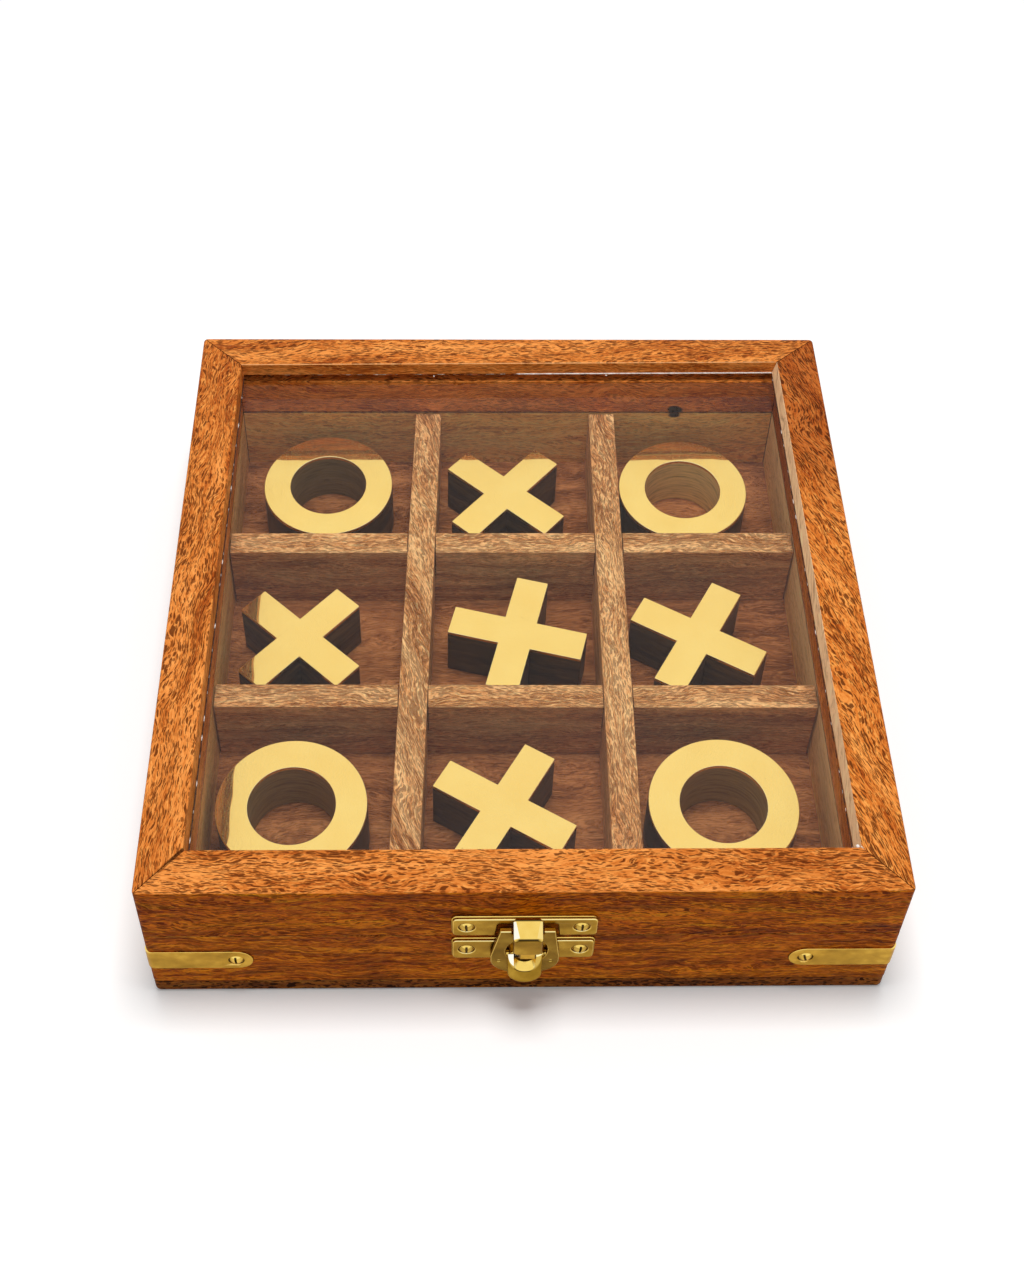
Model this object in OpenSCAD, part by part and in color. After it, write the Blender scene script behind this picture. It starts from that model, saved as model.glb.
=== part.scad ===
// A tic-tac-toe box: a mitred hardwood box with a glazed, hinged lid, a halved grid that
// makes nine cells, five crosses and four rings faced with brass, and a sprung front latch.
// The origin is the middle of the underside. X runs left to right, Y from the latch to the
// hinges, and Z up. All sizes are in millimetres.

/* [Box] */
// Width of the box, left to right
box_w = 178; // [168:1:240]
// Depth of the box, latch side to hinge side
box_d = 178; // [168:1:240]
// Height of the base, from the table to its rim
base_h = 27.2; // [25.5:0.1:40]
// Height of the lid
lid_h = 20.1; // [18:0.1:30]
// Gap at the seam between the base and the lid
seam_gap = 0.3; // [0.2:0.1:0.6]
// Thickness of the base walls and the lid rails
wall_t = 10.5; // [9.5:0.5:13]
// Thickness of the bottom panel
bottom_t = 5; // [4:0.5:7]
// Radius of the upright corners
corner_r = 1.2; // [0.6:0.1:2]

/* [Glass] */
// Thickness of the glass
glass_t = 3; // [2:0.1:4]
// Depth of the glass below the top of the lid
glass_drop = 4.4; // [3:0.1:8]
// How far the glass reaches into each rail
glass_bite = 3; // [2:0.1:5]
// Clearance round the edges of the glass and above it in the groove
glass_play = 0.15; // [0.05:0.05:0.4]

/* [Grid] */
// Width of the middle column of cells
cell_w = 45.5; // [42:0.5:50]
// Depth of the middle row of cells
cell_d = 43.5; // [42:0.5:50]
// Thickness of the dividers
divider_t = 7.5; // [5:0.5:9]
// How far the middle column lies to the right of the box's middle
grid_x = 0.5; // [-2:0.1:2]
// How far the middle row lies behind the box's middle
grid_y = 3.8; // [-4:0.1:4]
// Gap between a divider's end and the wall
divider_play = 0.4; // [0.1:0.1:1]
// How far the dividers' tops lie below the rim of the base
divider_drop = 0.3; // [0:0.1:2]
// Clearance in a halving joint
halving_play = 0.1; // [0.05:0.05:0.3]

/* [Pieces] */
// Thickness of a game piece with its brass face
piece_t = 17; // [10:0.5:18]
// Thickness of the brass face
brass_t = 1; // [0.5:0.1:2]
// Diameter of a ring
ring_d = 38; // [30:0.5:39]
// Diameter of the hole in a ring
ring_bore_d = 22; // [14:0.5:26]
// Length of a cross from arm end to arm end
cross_l = 36.8; // [28:0.1:38]
// Width of a cross's arms
cross_arm_w = 8.8; // [6:0.1:12]
// Least gap between a game piece and the sides of its cell
piece_play = 0.3; // [0.2:0.1:1]

/* [Straps] */
// Height of a corner strap
strap_h = 8; // [6:0.5:10]
// Length of each leg of a strap, from the corner to its round end
strap_l = 25.4; // [20:0.1:34]
// Thickness of a strap
strap_t = 1; // [0.8:0.1:1.4]
// How far a strap stands proud of the wood
strap_proud = 0.3; // [0.1:0.1:0.6]
// Clearance round a strap in its recess
strap_play = 0.12; // [0.05:0.01:0.3]

/* [Screws] */
// Diameter of a domed screw's head
head_d = 3.4; // [2.8:0.1:3.8]
// Height of a domed screw's head
head_h = 1; // [0.6:0.1:1.4]
// Diameter of a domed screw's shank
shank_d = 1.8; // [1.4:0.1:2.2]
// Length of a domed screw's shank
shank_l = 7; // [5:0.5:8]
// Width of a screw's slot
slot_w = 0.5; // [0.3:0.1:0.7]
// Depth of a screw's slot
slot_depth = 0.5; // [0.3:0.1:0.5]
// Depth of the dimple that a domed head sits in
dimple_depth = 0.3; // [0.1:0.1:0.4]
// Clearance round a head in its dimple
dimple_play = 0.25; // [0.1:0.05:0.4]
// Clearance round a screw's shank
shank_play = 0.05; // [0.02:0.01:0.2]
// Clearance beyond a screw's point
point_play = 0.3; // [0.1:0.1:1]

/* [Latch] */
// How far the latch lies to the right of the box's middle
latch_x = 0.9; // [-5:0.1:5]
// Width of a latch plate's front layer
plate_w = 33.2; // [30:0.1:38]
// Height of the catch plate's front layer
catch_h = 7.4; // [7.2:0.1:9]
// Height of the lever plate's front layer
lever_plate_h = 8.4; // [8:0.1:10]
// Thickness of each of a plate's two layers
sheet_t = 0.6; // [0.4:0.1:0.8]
// How far the back layer reaches past the front layer
plate_step = 0.3; // [0.1:0.1:0.6]
// Radius of a plate's corners
plate_r = 1.1; // [0.5:0.1:2]
// Gap between the lid's lower edge and the catch plate
catch_gap = 1.8; // [1:0.1:3]
// Gap between the rim of the base and the lever plate
lever_plate_gap = 0.15; // [0.05:0.05:0.6]
// Distance between the two screws of a plate
plate_screw_gap = 26.7; // [24:0.1:28]
// Width of the notch in the catch plate
notch_w = 14; // [13:0.1:16]
// How much wider the notch is at its mouth, on each side
notch_flare = 0.4; // [0.3:0.1:0.8]
// Height of the brass left above the notch
notch_band = 2; // [1.5:0.1:2.4]
// Width of the bill
bill_w = 6.8; // [5:0.1:7]
// How far the bill stands out from the box
bill_out = 5.9; // [5.4:0.1:8]
// Thickness of the bill's brass
bill_t = 1.1; // [0.8:0.1:1.3]
// Outer radius of the bill's bends
bill_r = 1.5; // [1.2:0.1:2]
// Clearance between the bill's tooth and the lever
tooth_play = 0.2; // [0.1:0.05:0.4]

/* [Lever] */
// Width of the lever at its widest
lever_w = 16.2; // [15:0.1:18]
// Thickness of the lever
lever_t = 1.1; // [1:0.1:1.4]
// How far the lever reaches below its pin
lever_low = 8.7; // [8:0.1:10]
// Height of the lever's upright sides below its pin
lever_side = 2.1; // [1:0.1:3]
// Clearance between the lever's legs and the notch
leg_play = 0.6; // [0.4:0.1:1]
// Clearance between the lever's legs and the bill
leg_gap = 0.3; // [0.2:0.1:0.6]
// Height of the bar that joins the legs
bar_h = 1.8; // [1.2:0.1:2]
// Gap between the bill's tooth and the bar above it
bar_gap = 0.3; // [0.2:0.1:0.5]
// Width of the lever's oval hole
oval_w = 9.3; // [8.8:0.1:10]
// How far the oval hole reaches below the pin
oval_low = 3.2; // [2.6:0.1:4]
// Width of the thumb lip
lip_w = 8.4; // [7:0.1:10]
// How far the thumb lip stands out from the box
lip_out = 6.3; // [5:0.1:8]
// Top of the thumb lip below the pin
lip_top = 0.6; // [0.3:0.1:1.5]
// Underside of the thumb lip below the pin
lip_low = 6.8; // [6:0.1:7.5]
// Radius of the thumb lip's rounded underside
lip_r = 4.9; // [4.3:0.1:8]
// Radius of the scoop in the thumb lip
scoop_r = 3.6; // [3:0.1:3.8]
// Tilt of the scoop, so that it is shallower at the front
scoop_tilt = 14; // [0:1:20]
// Diameter of the lever's pin
pin_d = 0.8; // [0.6:0.05:1]
// Outer diameter of the lugs and ears round the pin
lug_d = 1.6; // [1.5:0.05:1.8]
// Clearance round the pin and in front of the plate
pin_play = 0.05; // [0.02:0.01:0.1]
// Width of each ear on the lever plate
ear_w = 0.9; // [0.6:0.1:1.1]
// Width of each lug on the lever
lug_w = 1.4; // [1:0.1:1.8]
// Side gap between an ear and its lug
ear_gap = 0.15; // [0.05:0.05:0.3]
// Half the distance between the ears
ear_x = 3.1; // [2.8:0.1:3.3]
// Diameter of the stop dimples pressed in the lever
stop_d = 1; // [0.6:0.1:1.4]
// Height of the stop dimples above the oval hole's lower end
stop_rise = 0.9; // [0.5:0.1:1.4]
// Thickness of the latch spring's wire
wire_d = 0.3; // [0.2:0.02:0.32]

/* [Hinges] */
// Distance from the box's side to a hinge's middle
hinge_in = 39; // [30:1:50]
// Length of a hinge
hinge_l = 25.4; // [18:0.1:26]
// Reach of a leaf into the wood
leaf_w = 8; // [6:0.1:8.5]
// Thickness of a leaf
leaf_t = 0.9; // [0.7:0.1:1.2]
// Clearance round a leaf in its recess
leaf_play = 0.1; // [0.05:0.05:0.3]
// Diameter of a hinge's knuckles
knuckle_d = 3.6; // [3:0.1:4.5]
// Side gap between knuckles
knuckle_gap = 0.15; // [0.05:0.05:0.4]
// Gap between the knuckles and the back of the box
barrel_gap = 0.2; // [0.1:0.05:0.6]
// Diameter of a hinge's pin
hinge_pin_d = 1.8; // [1.2:0.1:2]
// Clearance round a hinge's pin
hinge_play = 0.05; // [0.02:0.01:0.1]
// Diameter of the heads of a hinge's pin
pin_head_d = 2.8; // [2.4:0.1:3]
// Thickness of the heads of a hinge's pin
pin_head_t = 0.5; // [0.3:0.1:1]
// Diameter of a countersunk screw's head
sunk_head_d = 3; // [2.6:0.1:3.4]
// Depth of a countersunk screw's head
sunk_head_h = 0.7; // [0.5:0.05:0.7]
// Diameter of a countersunk screw's shank
sunk_shank_d = 1.4; // [1:0.1:1.8]
// Length of a countersunk screw
sunk_l = 8; // [6:0.5:10]

/* [Hidden] */
$fn = 48;

// Colours
lid_wood = "#b4672a";
base_wood = "#8f4c22";
grid_wood = "#8d6238";
floor_wood = "#7a4a2e";
piece_wood = "#4a3020";
mirror_brass = "#e8c46c";
satin_brass = "#b8963e";
glass_tint = "#c9d6d280";
steel = "#8c8c86";

// How far a cut runs past the surface that it opens
past = 1;

// Heights
lid_z = base_h + seam_gap;
total_h = lid_z + lid_h;
glass_z = total_h - glass_drop - glass_t;
divider_h = base_h - divider_drop - bottom_t;
strap_z = bottom_t + (base_h - bottom_t) / 2;

// The box's corners: outer and inner, by the sign of X and of Y
function outer(c) = [c[0] * box_w / 2, c[1] * box_d / 2];
function inner(c) = [c[0] * (box_w / 2 - wall_t), c[1] * (box_d / 2 - wall_t)];
FRONT_LEFT = [-1, -1];
FRONT_RIGHT = [1, -1];
BACK_RIGHT = [1, 1];
BACK_LEFT = [-1, 1];
CORNERS = [FRONT_LEFT, FRONT_RIGHT, BACK_RIGHT, BACK_LEFT];

// The dividers' middle lines
pitch_x = cell_w + divider_t;
pitch_y = cell_d + divider_t;
divider_xs = [grid_x - pitch_x / 2, grid_x + pitch_x / 2];
divider_ys = [grid_y - pitch_y / 2, grid_y + pitch_y / 2];

// Each column's and row's two sides, then their middles and half sizes
COLUMNS = [
    [-box_w / 2 + wall_t, divider_xs[0] - divider_t / 2],
    [divider_xs[0] + divider_t / 2, divider_xs[1] - divider_t / 2],
    [divider_xs[1] + divider_t / 2, box_w / 2 - wall_t]
];
ROWS = [
    [-box_d / 2 + wall_t, divider_ys[0] - divider_t / 2],
    [divider_ys[0] + divider_t / 2, divider_ys[1] - divider_t / 2],
    [divider_ys[1] + divider_t / 2, box_d / 2 - wall_t]
];
function middle(span) = (span[0] + span[1]) / 2;
function half(span) = (span[1] - span[0]) / 2;

// Where each piece lies: column, row, and lean in X and Y as a share of its play.
// A cross turned by an angle reaches this far from its middle, in X as in Y
ring_r = ring_d / 2;
function cross_reach(angle) = max(
    abs(cos(angle)) * cross_l / 2 + abs(sin(angle)) * cross_arm_w / 2,
    abs(sin(angle)) * cross_l / 2 + abs(cos(angle)) * cross_arm_w / 2
);
function place(column, row, lean_x, lean_y, reach) = [
    middle(COLUMNS[column]) + lean_x * (half(COLUMNS[column]) - reach - piece_play),
    middle(ROWS[row]) + lean_y * (half(ROWS[row]) - reach - piece_play)
];
ANGLE_BACK = 48.5;
ANGLE_LEFT = 47;
ANGLE_CENTRE = 75.5;
ANGLE_RIGHT = 60;
ANGLE_FRONT = 59;
RING_BACK_LEFT = place(0, 2, 0.32, -0.285, ring_r);
RING_BACK_RIGHT = place(2, 2, -1, -0.78, ring_r);
RING_FRONT_LEFT = place(0, 0, -0.53, 0.15, ring_r);
RING_FRONT_RIGHT = place(2, 0, -0.66, 0.15, ring_r);
CROSS_BACK = place(1, 2, -0.32, -0.68, cross_reach(ANGLE_BACK));
CROSS_LEFT = place(0, 1, -0.47, -0.64, cross_reach(ANGLE_LEFT));
CROSS_CENTRE = place(1, 1, 0.14, -0.71, cross_reach(ANGLE_CENTRE));
CROSS_RIGHT = place(2, 1, -0.86, -0.87, cross_reach(ANGLE_RIGHT));
CROSS_FRONT = place(1, 0, -0.93, 0.1, cross_reach(ANGLE_FRONT));

// Screws in the straps and the latch plates. Each slot lies at its own angle
pilot_d = shank_d + 2 * shank_play;
dimple_d = head_d + 2 * dimple_play;
point_l = shank_d;
slot_angles = [82, 97, 64, 108, 90, 71, 115, 86];
strap_screw_in = strap_l - strap_h / 2 - strap_proud;

// The latch is drawn with X across, Y up from the rim of the base, and Z out from the box
plate_out = 2 * sheet_t;
plate_back_w = plate_w + 2 * plate_step;
catch_low = seam_gap + catch_gap + plate_step;
catch_top = catch_low + catch_h;
catch_mid = catch_low + catch_h / 2;
notch_top = catch_top - notch_band;
lever_plate_top = -lever_plate_gap - plate_step;
pin_y = lever_plate_top - lever_plate_h / 2;
pin_out = plate_out + pin_play + lug_d / 2;
lever_front = pin_out + lug_d / 2 + pin_play;
lever_back = lever_front - lever_t;
tooth_top = catch_low + bill_t;
bar_low = tooth_top + bar_gap;
bar_top = bar_low + bar_h;
leg_top = notch_top - leg_play;
leg_half_w = notch_w / 2 - leg_play;
slot_half_w = bill_w / 2 + leg_gap;
lever_bottom = pin_y - lever_low;
shoulder_y = pin_y - lever_side;
oval_bottom = pin_y - oval_low;
oval_mid = (bar_low + oval_bottom) / 2;
lug_x = ear_x + ear_w + ear_gap;
pin_l = 2 * (lug_x + lug_w);
relief_r = lug_d / 2 + leg_gap;
stop_x = (lever_w + oval_w) / 4 - stop_d / 4;
stop_y = oval_bottom + stop_rise;
plate_screw_xs = [-plate_screw_gap / 2, plate_screw_gap / 2];
spring_leg_x = wire_d * 2;
spring_d = lug_d;
spring_leg_out = plate_out + pin_play + wire_d / 2;

// Points of an elliptical arc
ARC_STEPS = 24;
function arc(mid_y, r_x, r_y, from, to) = [
    for (i = [0:ARC_STEPS])
        let (a = from + (to - from) * i / ARC_STEPS)
        [r_x * cos(a), mid_y + r_y * sin(a)]
];

// The hinges' pin line
hinge_y = box_d / 2 + barrel_gap + knuckle_d / 2;
hinge_z = base_h + seam_gap / 2;
hinge_xs = [-box_w / 2 + hinge_in, box_w / 2 - hinge_in];
wood_in = -(barrel_gap + knuckle_d / 2);
leaf_in = wood_in - leaf_w;
leaf_screw_y = wood_in - leaf_w / 2;
knuckle_l = hinge_l / 3;
hinge_screw_xs = [-knuckle_l, knuckle_l];

// Shared shapes

module rounded_rect(w, d, r) {
    square([w - 2 * r, d], center = true);
    square([w, d - 2 * r], center = true);
    for (sx = [-1, 1], sy = [-1, 1])
        translate([sx * (w / 2 - r), sy * (d / 2 - r)])
            circle(r);
}

module rounded_block(w, d, h, r) {
    linear_extrude(h)
        rounded_rect(w, d, r);
}

// One side of a mitred frame, between two neighbouring corners
module mitred_side(a, b, h) {
    intersection() {
        linear_extrude(h)
            polygon([outer(a), outer(b), inner(b), inner(a)]);
        rounded_block(box_w, box_d, h, corner_r);
    }
}

// Draws the front left corner's children at another corner
module at_corner(c) {
    mirror_if(c[0] > 0, [1, 0, 0])
        mirror_if(c[1] > 0, [0, 1, 0])
            children();
}

module mirror_if(yes, axis) {
    if (yes)
        mirror(axis) children();
    else
        children();
}

// A slotted screw with a domed head, seated at z = 0 and pointing down
module domed_screw(angle) {
    dome_r = (head_d * head_d / 4 + head_h * head_h) / (2 * head_h);
    difference() {
        intersection() {
            translate([0, 0, head_h - dome_r])
                sphere(dome_r);
            cylinder(d = head_d + past, h = head_h + past);
        }
        rotate([0, 0, angle])
            translate([-head_d, -slot_w / 2, head_h - slot_depth])
                cube([2 * head_d, slot_w, slot_depth + past]);
    }
    translate([0, 0, -shank_l + point_l])
        cylinder(d = shank_d, h = shank_l - point_l);
    translate([0, 0, -shank_l])
        cylinder(d1 = 0, d2 = shank_d, h = point_l);
}

// The hole for a domed screw, from its seat down
module pilot_hole() {
    translate([0, 0, -shank_l - point_play])
        cylinder(d = pilot_d, h = shank_l + point_play + past);
}

// The hole in a strap or plate, with the dimple for the head above the seat
module dimpled_hole() {
    pilot_hole();
    cylinder(d = dimple_d, h = dimple_depth + past);
}

// A slotted countersunk screw, flush with z = 0 and pointing down
module sunk_screw(angle) {
    difference() {
        translate([0, 0, -sunk_head_h])
            cylinder(d1 = sunk_shank_d, d2 = sunk_head_d, h = sunk_head_h);
        rotate([0, 0, angle])
            translate([-sunk_head_d, -slot_w / 2, -sunk_head_h / 2])
                cube([2 * sunk_head_d, slot_w, sunk_head_h]);
    }
    translate([0, 0, -sunk_l + sunk_shank_d])
        cylinder(d = sunk_shank_d, h = sunk_l - sunk_shank_d - sunk_head_h);
    translate([0, 0, -sunk_l])
        cylinder(d1 = 0, d2 = sunk_shank_d, h = sunk_shank_d);
}

module sunk_hole() {
    translate([0, 0, -sunk_head_h])
        cylinder(d1 = sunk_shank_d + 2 * shank_play, d2 = sunk_head_d + 2 * shank_play, h = sunk_head_h);
    translate([0, 0, -sunk_l - point_play])
        cylinder(d = sunk_shank_d + 2 * shank_play, h = sunk_l + point_play);
    translate([0, 0, -shank_play])
        cylinder(d = sunk_head_d + 2 * shank_play, h = past);
}

// Straps

// A strap leg seen face on: from the corner to its half-round end
module strap_leg(play) {
    translate([0, -strap_h / 2 - play])
        square([strap_l - strap_h / 2, strap_h + 2 * play]);
    translate([strap_l - strap_h / 2, 0])
        circle(strap_h / 2 + play);
}

// The band of a strap at the front left corner, out to a given height over the wood
module strap_shape(play, proud) {
    depth = strap_t - strap_proud;
    reach = wall_t / 2;
    intersection() {
        translate([0, 0, strap_z - strap_h])
            difference() {
                rounded_block(box_w + 2 * proud, box_d + 2 * proud, 2 * strap_h, corner_r + proud);
                translate([-box_w / 2 + depth, -box_d / 2 + depth, -past])
                    cube([box_w - 2 * depth, box_d - 2 * depth, 2 * strap_h + 2 * past]);
            }
        union() {
            translate([-box_w / 2 - strap_proud, -box_d / 2 + reach, strap_z])
                rotate([90, 0, 0])
                    linear_extrude(reach + proud + past)
                        strap_leg(play);
            translate([-box_w / 2 - proud - past, -box_d / 2 - strap_proud, strap_z])
                rotate([90, 0, 90])
                    linear_extrude(reach + proud + past)
                        strap_leg(play);
        }
    }
}

// The seats of the two screws in the front left strap
module at_strap_screws() {
    seat = -strap_proud + dimple_depth;
    translate([-box_w / 2 + strap_screw_in, -box_d / 2 + seat, strap_z])
        rotate([90, 0, 0])
            children();
    translate([-box_w / 2 + seat, -box_d / 2 + strap_screw_in, strap_z])
        rotate([0, -90, 0])
            children();
}

module corner_strap(c) {
    color(satin_brass)
        at_corner(c)
            difference() {
                strap_shape(0, strap_proud);
                at_strap_screws()
                    dimpled_hole();
            }
}

module corner_screws() {
    color(satin_brass)
        for (i = [0:3])
            at_corner(CORNERS[i])
                at_strap_screws()
                    domed_screw(slot_angles[i]);
}

// What the straps take out of the base walls
module strap_cuts(a, b) {
    for (c = [a, b])
        at_corner(c) {
            strap_shape(strap_play, past);
            at_strap_screws()
                pilot_hole();
        }
}

// Base

module bottom_panel() {
    color(floor_wood)
        rounded_block(box_w, box_d, bottom_t, corner_r);
}

module base_wall(a, b) {
    difference() {
        translate([0, 0, bottom_t])
            mitred_side(a, b, base_h - bottom_t);
        strap_cuts(a, b);
    }
}

module base_front_wall() {
    color(base_wood)
        difference() {
            base_wall(FRONT_LEFT, FRONT_RIGHT);
            at_latch()
                at_plate_screws(pin_y)
                    pilot_hole();
        }
}

module base_back_wall() {
    color(base_wood)
        difference() {
            base_wall(BACK_RIGHT, BACK_LEFT);
            for (x = hinge_xs)
                at_hinge(x)
                    leaf_cuts();
        }
}

module base_side_wall(a, b) {
    color(base_wood)
        base_wall(a, b);
}

// Grid. The long dividers run from front to back and are slotted from below

module halving_slot(x, y, z) {
    w = divider_t + 2 * halving_play;
    translate([x - w / 2, y - w / 2, z])
        cube([w, w, divider_h / 2 + past]);
}

module long_divider(i) {
    l = box_d - 2 * wall_t - 2 * divider_play;
    color(grid_wood)
        difference() {
            translate([divider_xs[i] - divider_t / 2, -l / 2, bottom_t])
                cube([divider_t, l, divider_h]);
            for (y = divider_ys)
                halving_slot(divider_xs[i], y, bottom_t - past + halving_play);
        }
}

module cross_divider(i) {
    l = box_w - 2 * wall_t - 2 * divider_play;
    color(grid_wood)
        difference() {
            translate([-l / 2, divider_ys[i] - divider_t / 2, bottom_t])
                cube([l, divider_t, divider_h]);
            for (x = divider_xs)
                halving_slot(x, divider_ys[i], bottom_t + divider_h / 2);
        }
}

// Game pieces

module ring_shape(h) {
    difference() {
        cylinder(d = ring_d, h = h);
        translate([0, 0, -past])
            cylinder(d = ring_bore_d, h = h + 2 * past);
    }
}

module cross_shape(h) {
    linear_extrude(h) {
        square([cross_l, cross_arm_w], center = true);
        square([cross_arm_w, cross_l], center = true);
    }
}

module ring_body(at) {
    color(piece_wood)
        translate([at[0], at[1], bottom_t])
            ring_shape(piece_t - brass_t);
}

module ring_face(at) {
    color(mirror_brass)
        translate([at[0], at[1], bottom_t + piece_t - brass_t])
            ring_shape(brass_t);
}

module cross_body(at, angle) {
    color(piece_wood)
        translate([at[0], at[1], bottom_t])
            rotate([0, 0, angle])
                cross_shape(piece_t - brass_t);
}

module cross_face(at, angle) {
    color(mirror_brass)
        translate([at[0], at[1], bottom_t + piece_t - brass_t])
            rotate([0, 0, angle])
                cross_shape(brass_t);
}

// Lid

module glass_groove() {
    w = box_w - 2 * wall_t + 2 * (glass_bite + glass_play);
    d = box_d - 2 * wall_t + 2 * (glass_bite + glass_play);
    translate([-w / 2, -d / 2, glass_z])
        cube([w, d, glass_t + glass_play]);
}

module lid_rail(a, b) {
    difference() {
        translate([0, 0, lid_z])
            mitred_side(a, b, lid_h);
        glass_groove();
    }
}

module lid_front_rail() {
    color(lid_wood)
        difference() {
            lid_rail(FRONT_LEFT, FRONT_RIGHT);
            at_latch()
                at_plate_screws(catch_mid)
                    pilot_hole();
        }
}

module lid_back_rail() {
    color(lid_wood)
        difference() {
            lid_rail(BACK_RIGHT, BACK_LEFT);
            for (x = hinge_xs)
                at_hinge(x)
                    mirror([0, 0, 1])
                        leaf_cuts();
        }
}

module lid_side_rail(a, b) {
    color(lid_wood)
        lid_rail(a, b);
}

module glass_pane() {
    w = box_w - 2 * wall_t + 2 * glass_bite;
    d = box_d - 2 * wall_t + 2 * glass_bite;
    color(glass_tint)
        translate([-w / 2, -d / 2, glass_z])
            cube([w, d, glass_t]);
}

// Latch, in its own frame

module at_latch() {
    translate([latch_x, -box_d / 2, base_h])
        rotate([90, 0, 0])
            children();
}

// The seats of a plate's two screws
module at_plate_screws(y) {
    for (x = plate_screw_xs)
        translate([x, y, plate_out - dimple_depth])
            children();
}

module latch_plate(y, h) {
    translate([0, y, 0])
        rounded_block(plate_back_w, h + 2 * plate_step, sheet_t, plate_r + plate_step);
    translate([0, y, sheet_t])
        rounded_block(plate_w, h, sheet_t, plate_r);
}

// Side of the bill: a hook open at the back and below, bent from the plate's upper edge
module bill_side() {
    front = bill_out - bill_r;
    difference() {
        union() {
            translate([sheet_t, catch_low])
                square([front - sheet_t, catch_h]);
            translate([sheet_t, catch_low + bill_r])
                square([bill_out - sheet_t, catch_h - 2 * bill_r]);
            for (y = [catch_low + bill_r, catch_top - bill_r])
                translate([front, y])
                    circle(bill_r);
        }
        translate([0, tooth_top])
            square([bill_out - bill_t, catch_h - 2 * bill_t]);
        translate([0, catch_low - past])
            square([lever_front + tooth_play, catch_h - bill_t + past]);
    }
}

// The notch that the lever's legs swing into
module notch() {
    mouth = catch_low - plate_step - past;
    translate([0, 0, -past])
        linear_extrude(plate_out + 2 * past)
            polygon([
                [-notch_w / 2, notch_top], [notch_w / 2, notch_top],
                [notch_w / 2 + notch_flare, mouth], [-notch_w / 2 - notch_flare, mouth]
            ]);
}

module catch_plate() {
    color(satin_brass)
        at_latch() {
            difference() {
                latch_plate(catch_mid, catch_h);
                notch();
                at_plate_screws(catch_mid)
                    dimpled_hole();
            }
            translate([bill_w / 2, 0, 0])
                rotate([0, -90, 0])
                    linear_extrude(bill_w)
                        bill_side();
        }
}

module catch_screws() {
    color(satin_brass)
        at_latch()
            at_plate_screws(catch_mid)
                domed_screw(slot_angles[1]);
}

// One ear: a round eye round the pin on a foot that rises from the plate
module ear(x) {
    translate([x, pin_y, pin_out])
        rotate([0, 90, 0])
            cylinder(d = lug_d, h = ear_w);
    translate([x, pin_y - lug_d / 2, plate_out - sheet_t / 2])
        cube([ear_w, lug_d, pin_out - plate_out + sheet_t / 2]);
}

// The bore for the pin, through ears or lugs
module pin_bore(l) {
    translate([-l / 2, pin_y, pin_out])
        rotate([0, 90, 0])
            cylinder(d = pin_d + 2 * pin_play, h = l);
}

module lever_plate() {
    color(satin_brass)
        at_latch()
            difference() {
                union() {
                    latch_plate(pin_y, lever_plate_h);
                    ear(-ear_x - ear_w);
                    ear(ear_x);
                }
                pin_bore(pin_l);
                at_plate_screws(pin_y)
                    dimpled_hole();
            }
}

module lever_plate_screws() {
    color(satin_brass)
        at_latch()
            at_plate_screws(pin_y)
                domed_screw(slot_angles[4]);
}

// The lever seen from the front: two legs, a bar between them, an oval hole and a round foot
module lever_outline() {
    difference() {
        polygon(concat(
            [[-leg_half_w, leg_top], [leg_half_w, leg_top], [lever_w / 2, pin_y]],
            arc(shoulder_y, lever_w / 2, shoulder_y - lever_bottom, 0, -180),
            [[-lever_w / 2, pin_y]]
        ));
        polygon(arc(oval_mid, oval_w / 2, bar_low - oval_mid, 0, 360));
        translate([-slot_half_w, bar_top])
            square([2 * slot_half_w, leg_top - bar_top + past]);
    }
}

// The thumb lip seen from the front
module lip_outline() {
    intersection() {
        translate([-lip_w / 2, pin_y - lip_low])
            square([lip_w, lip_low - lip_top]);
        union() {
            translate([0, pin_y - lip_low + lip_r])
                circle(lip_r);
            translate([-lip_w / 2, pin_y - lip_low + lip_r])
                square([lip_w, lip_r]);
        }
    }
}

module latch_lever() {
    color(satin_brass)
        at_latch()
            difference() {
                union() {
                    translate([0, 0, lever_back])
                        linear_extrude(lever_t)
                            lever_outline();
                    difference() {
                        translate([0, 0, lever_back])
                            linear_extrude(lip_out - lever_back)
                                lip_outline();
                        translate([0, oval_bottom + scoop_r, lever_back])
                            rotate([-scoop_tilt, 0, 0])
                                translate([0, 0, -lip_out])
                                    cylinder(r = scoop_r, h = 3 * lip_out);
                    }
                    for (x = [-lug_x - lug_w, lug_x])
                        translate([x, pin_y, pin_out])
                            rotate([0, 90, 0])
                                cylinder(d = lug_d, h = lug_w);
                    // Stops that rest on the lever plate
                    for (x = [-stop_x, stop_x])
                        translate([x, stop_y, plate_out])
                            cylinder(d = stop_d, h = lever_front - plate_out - lever_t / 2);
                }
                // Room for the ears and the spring
                translate([-lug_x, pin_y - relief_r, 0])
                    cube([2 * lug_x, 2 * relief_r, pin_out + relief_r]);
                pin_bore(pin_l + 2 * ear_gap);
                for (x = [-stop_x, stop_x])
                    translate([x, stop_y, lever_front - lever_t / 3])
                        cylinder(d = stop_d, h = lever_t);
            }
}

module latch_pin() {
    color(steel)
        at_latch()
            translate([-pin_l / 2, pin_y, pin_out])
                rotate([0, 90, 0])
                    cylinder(d = pin_d, h = pin_l);
}

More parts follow.
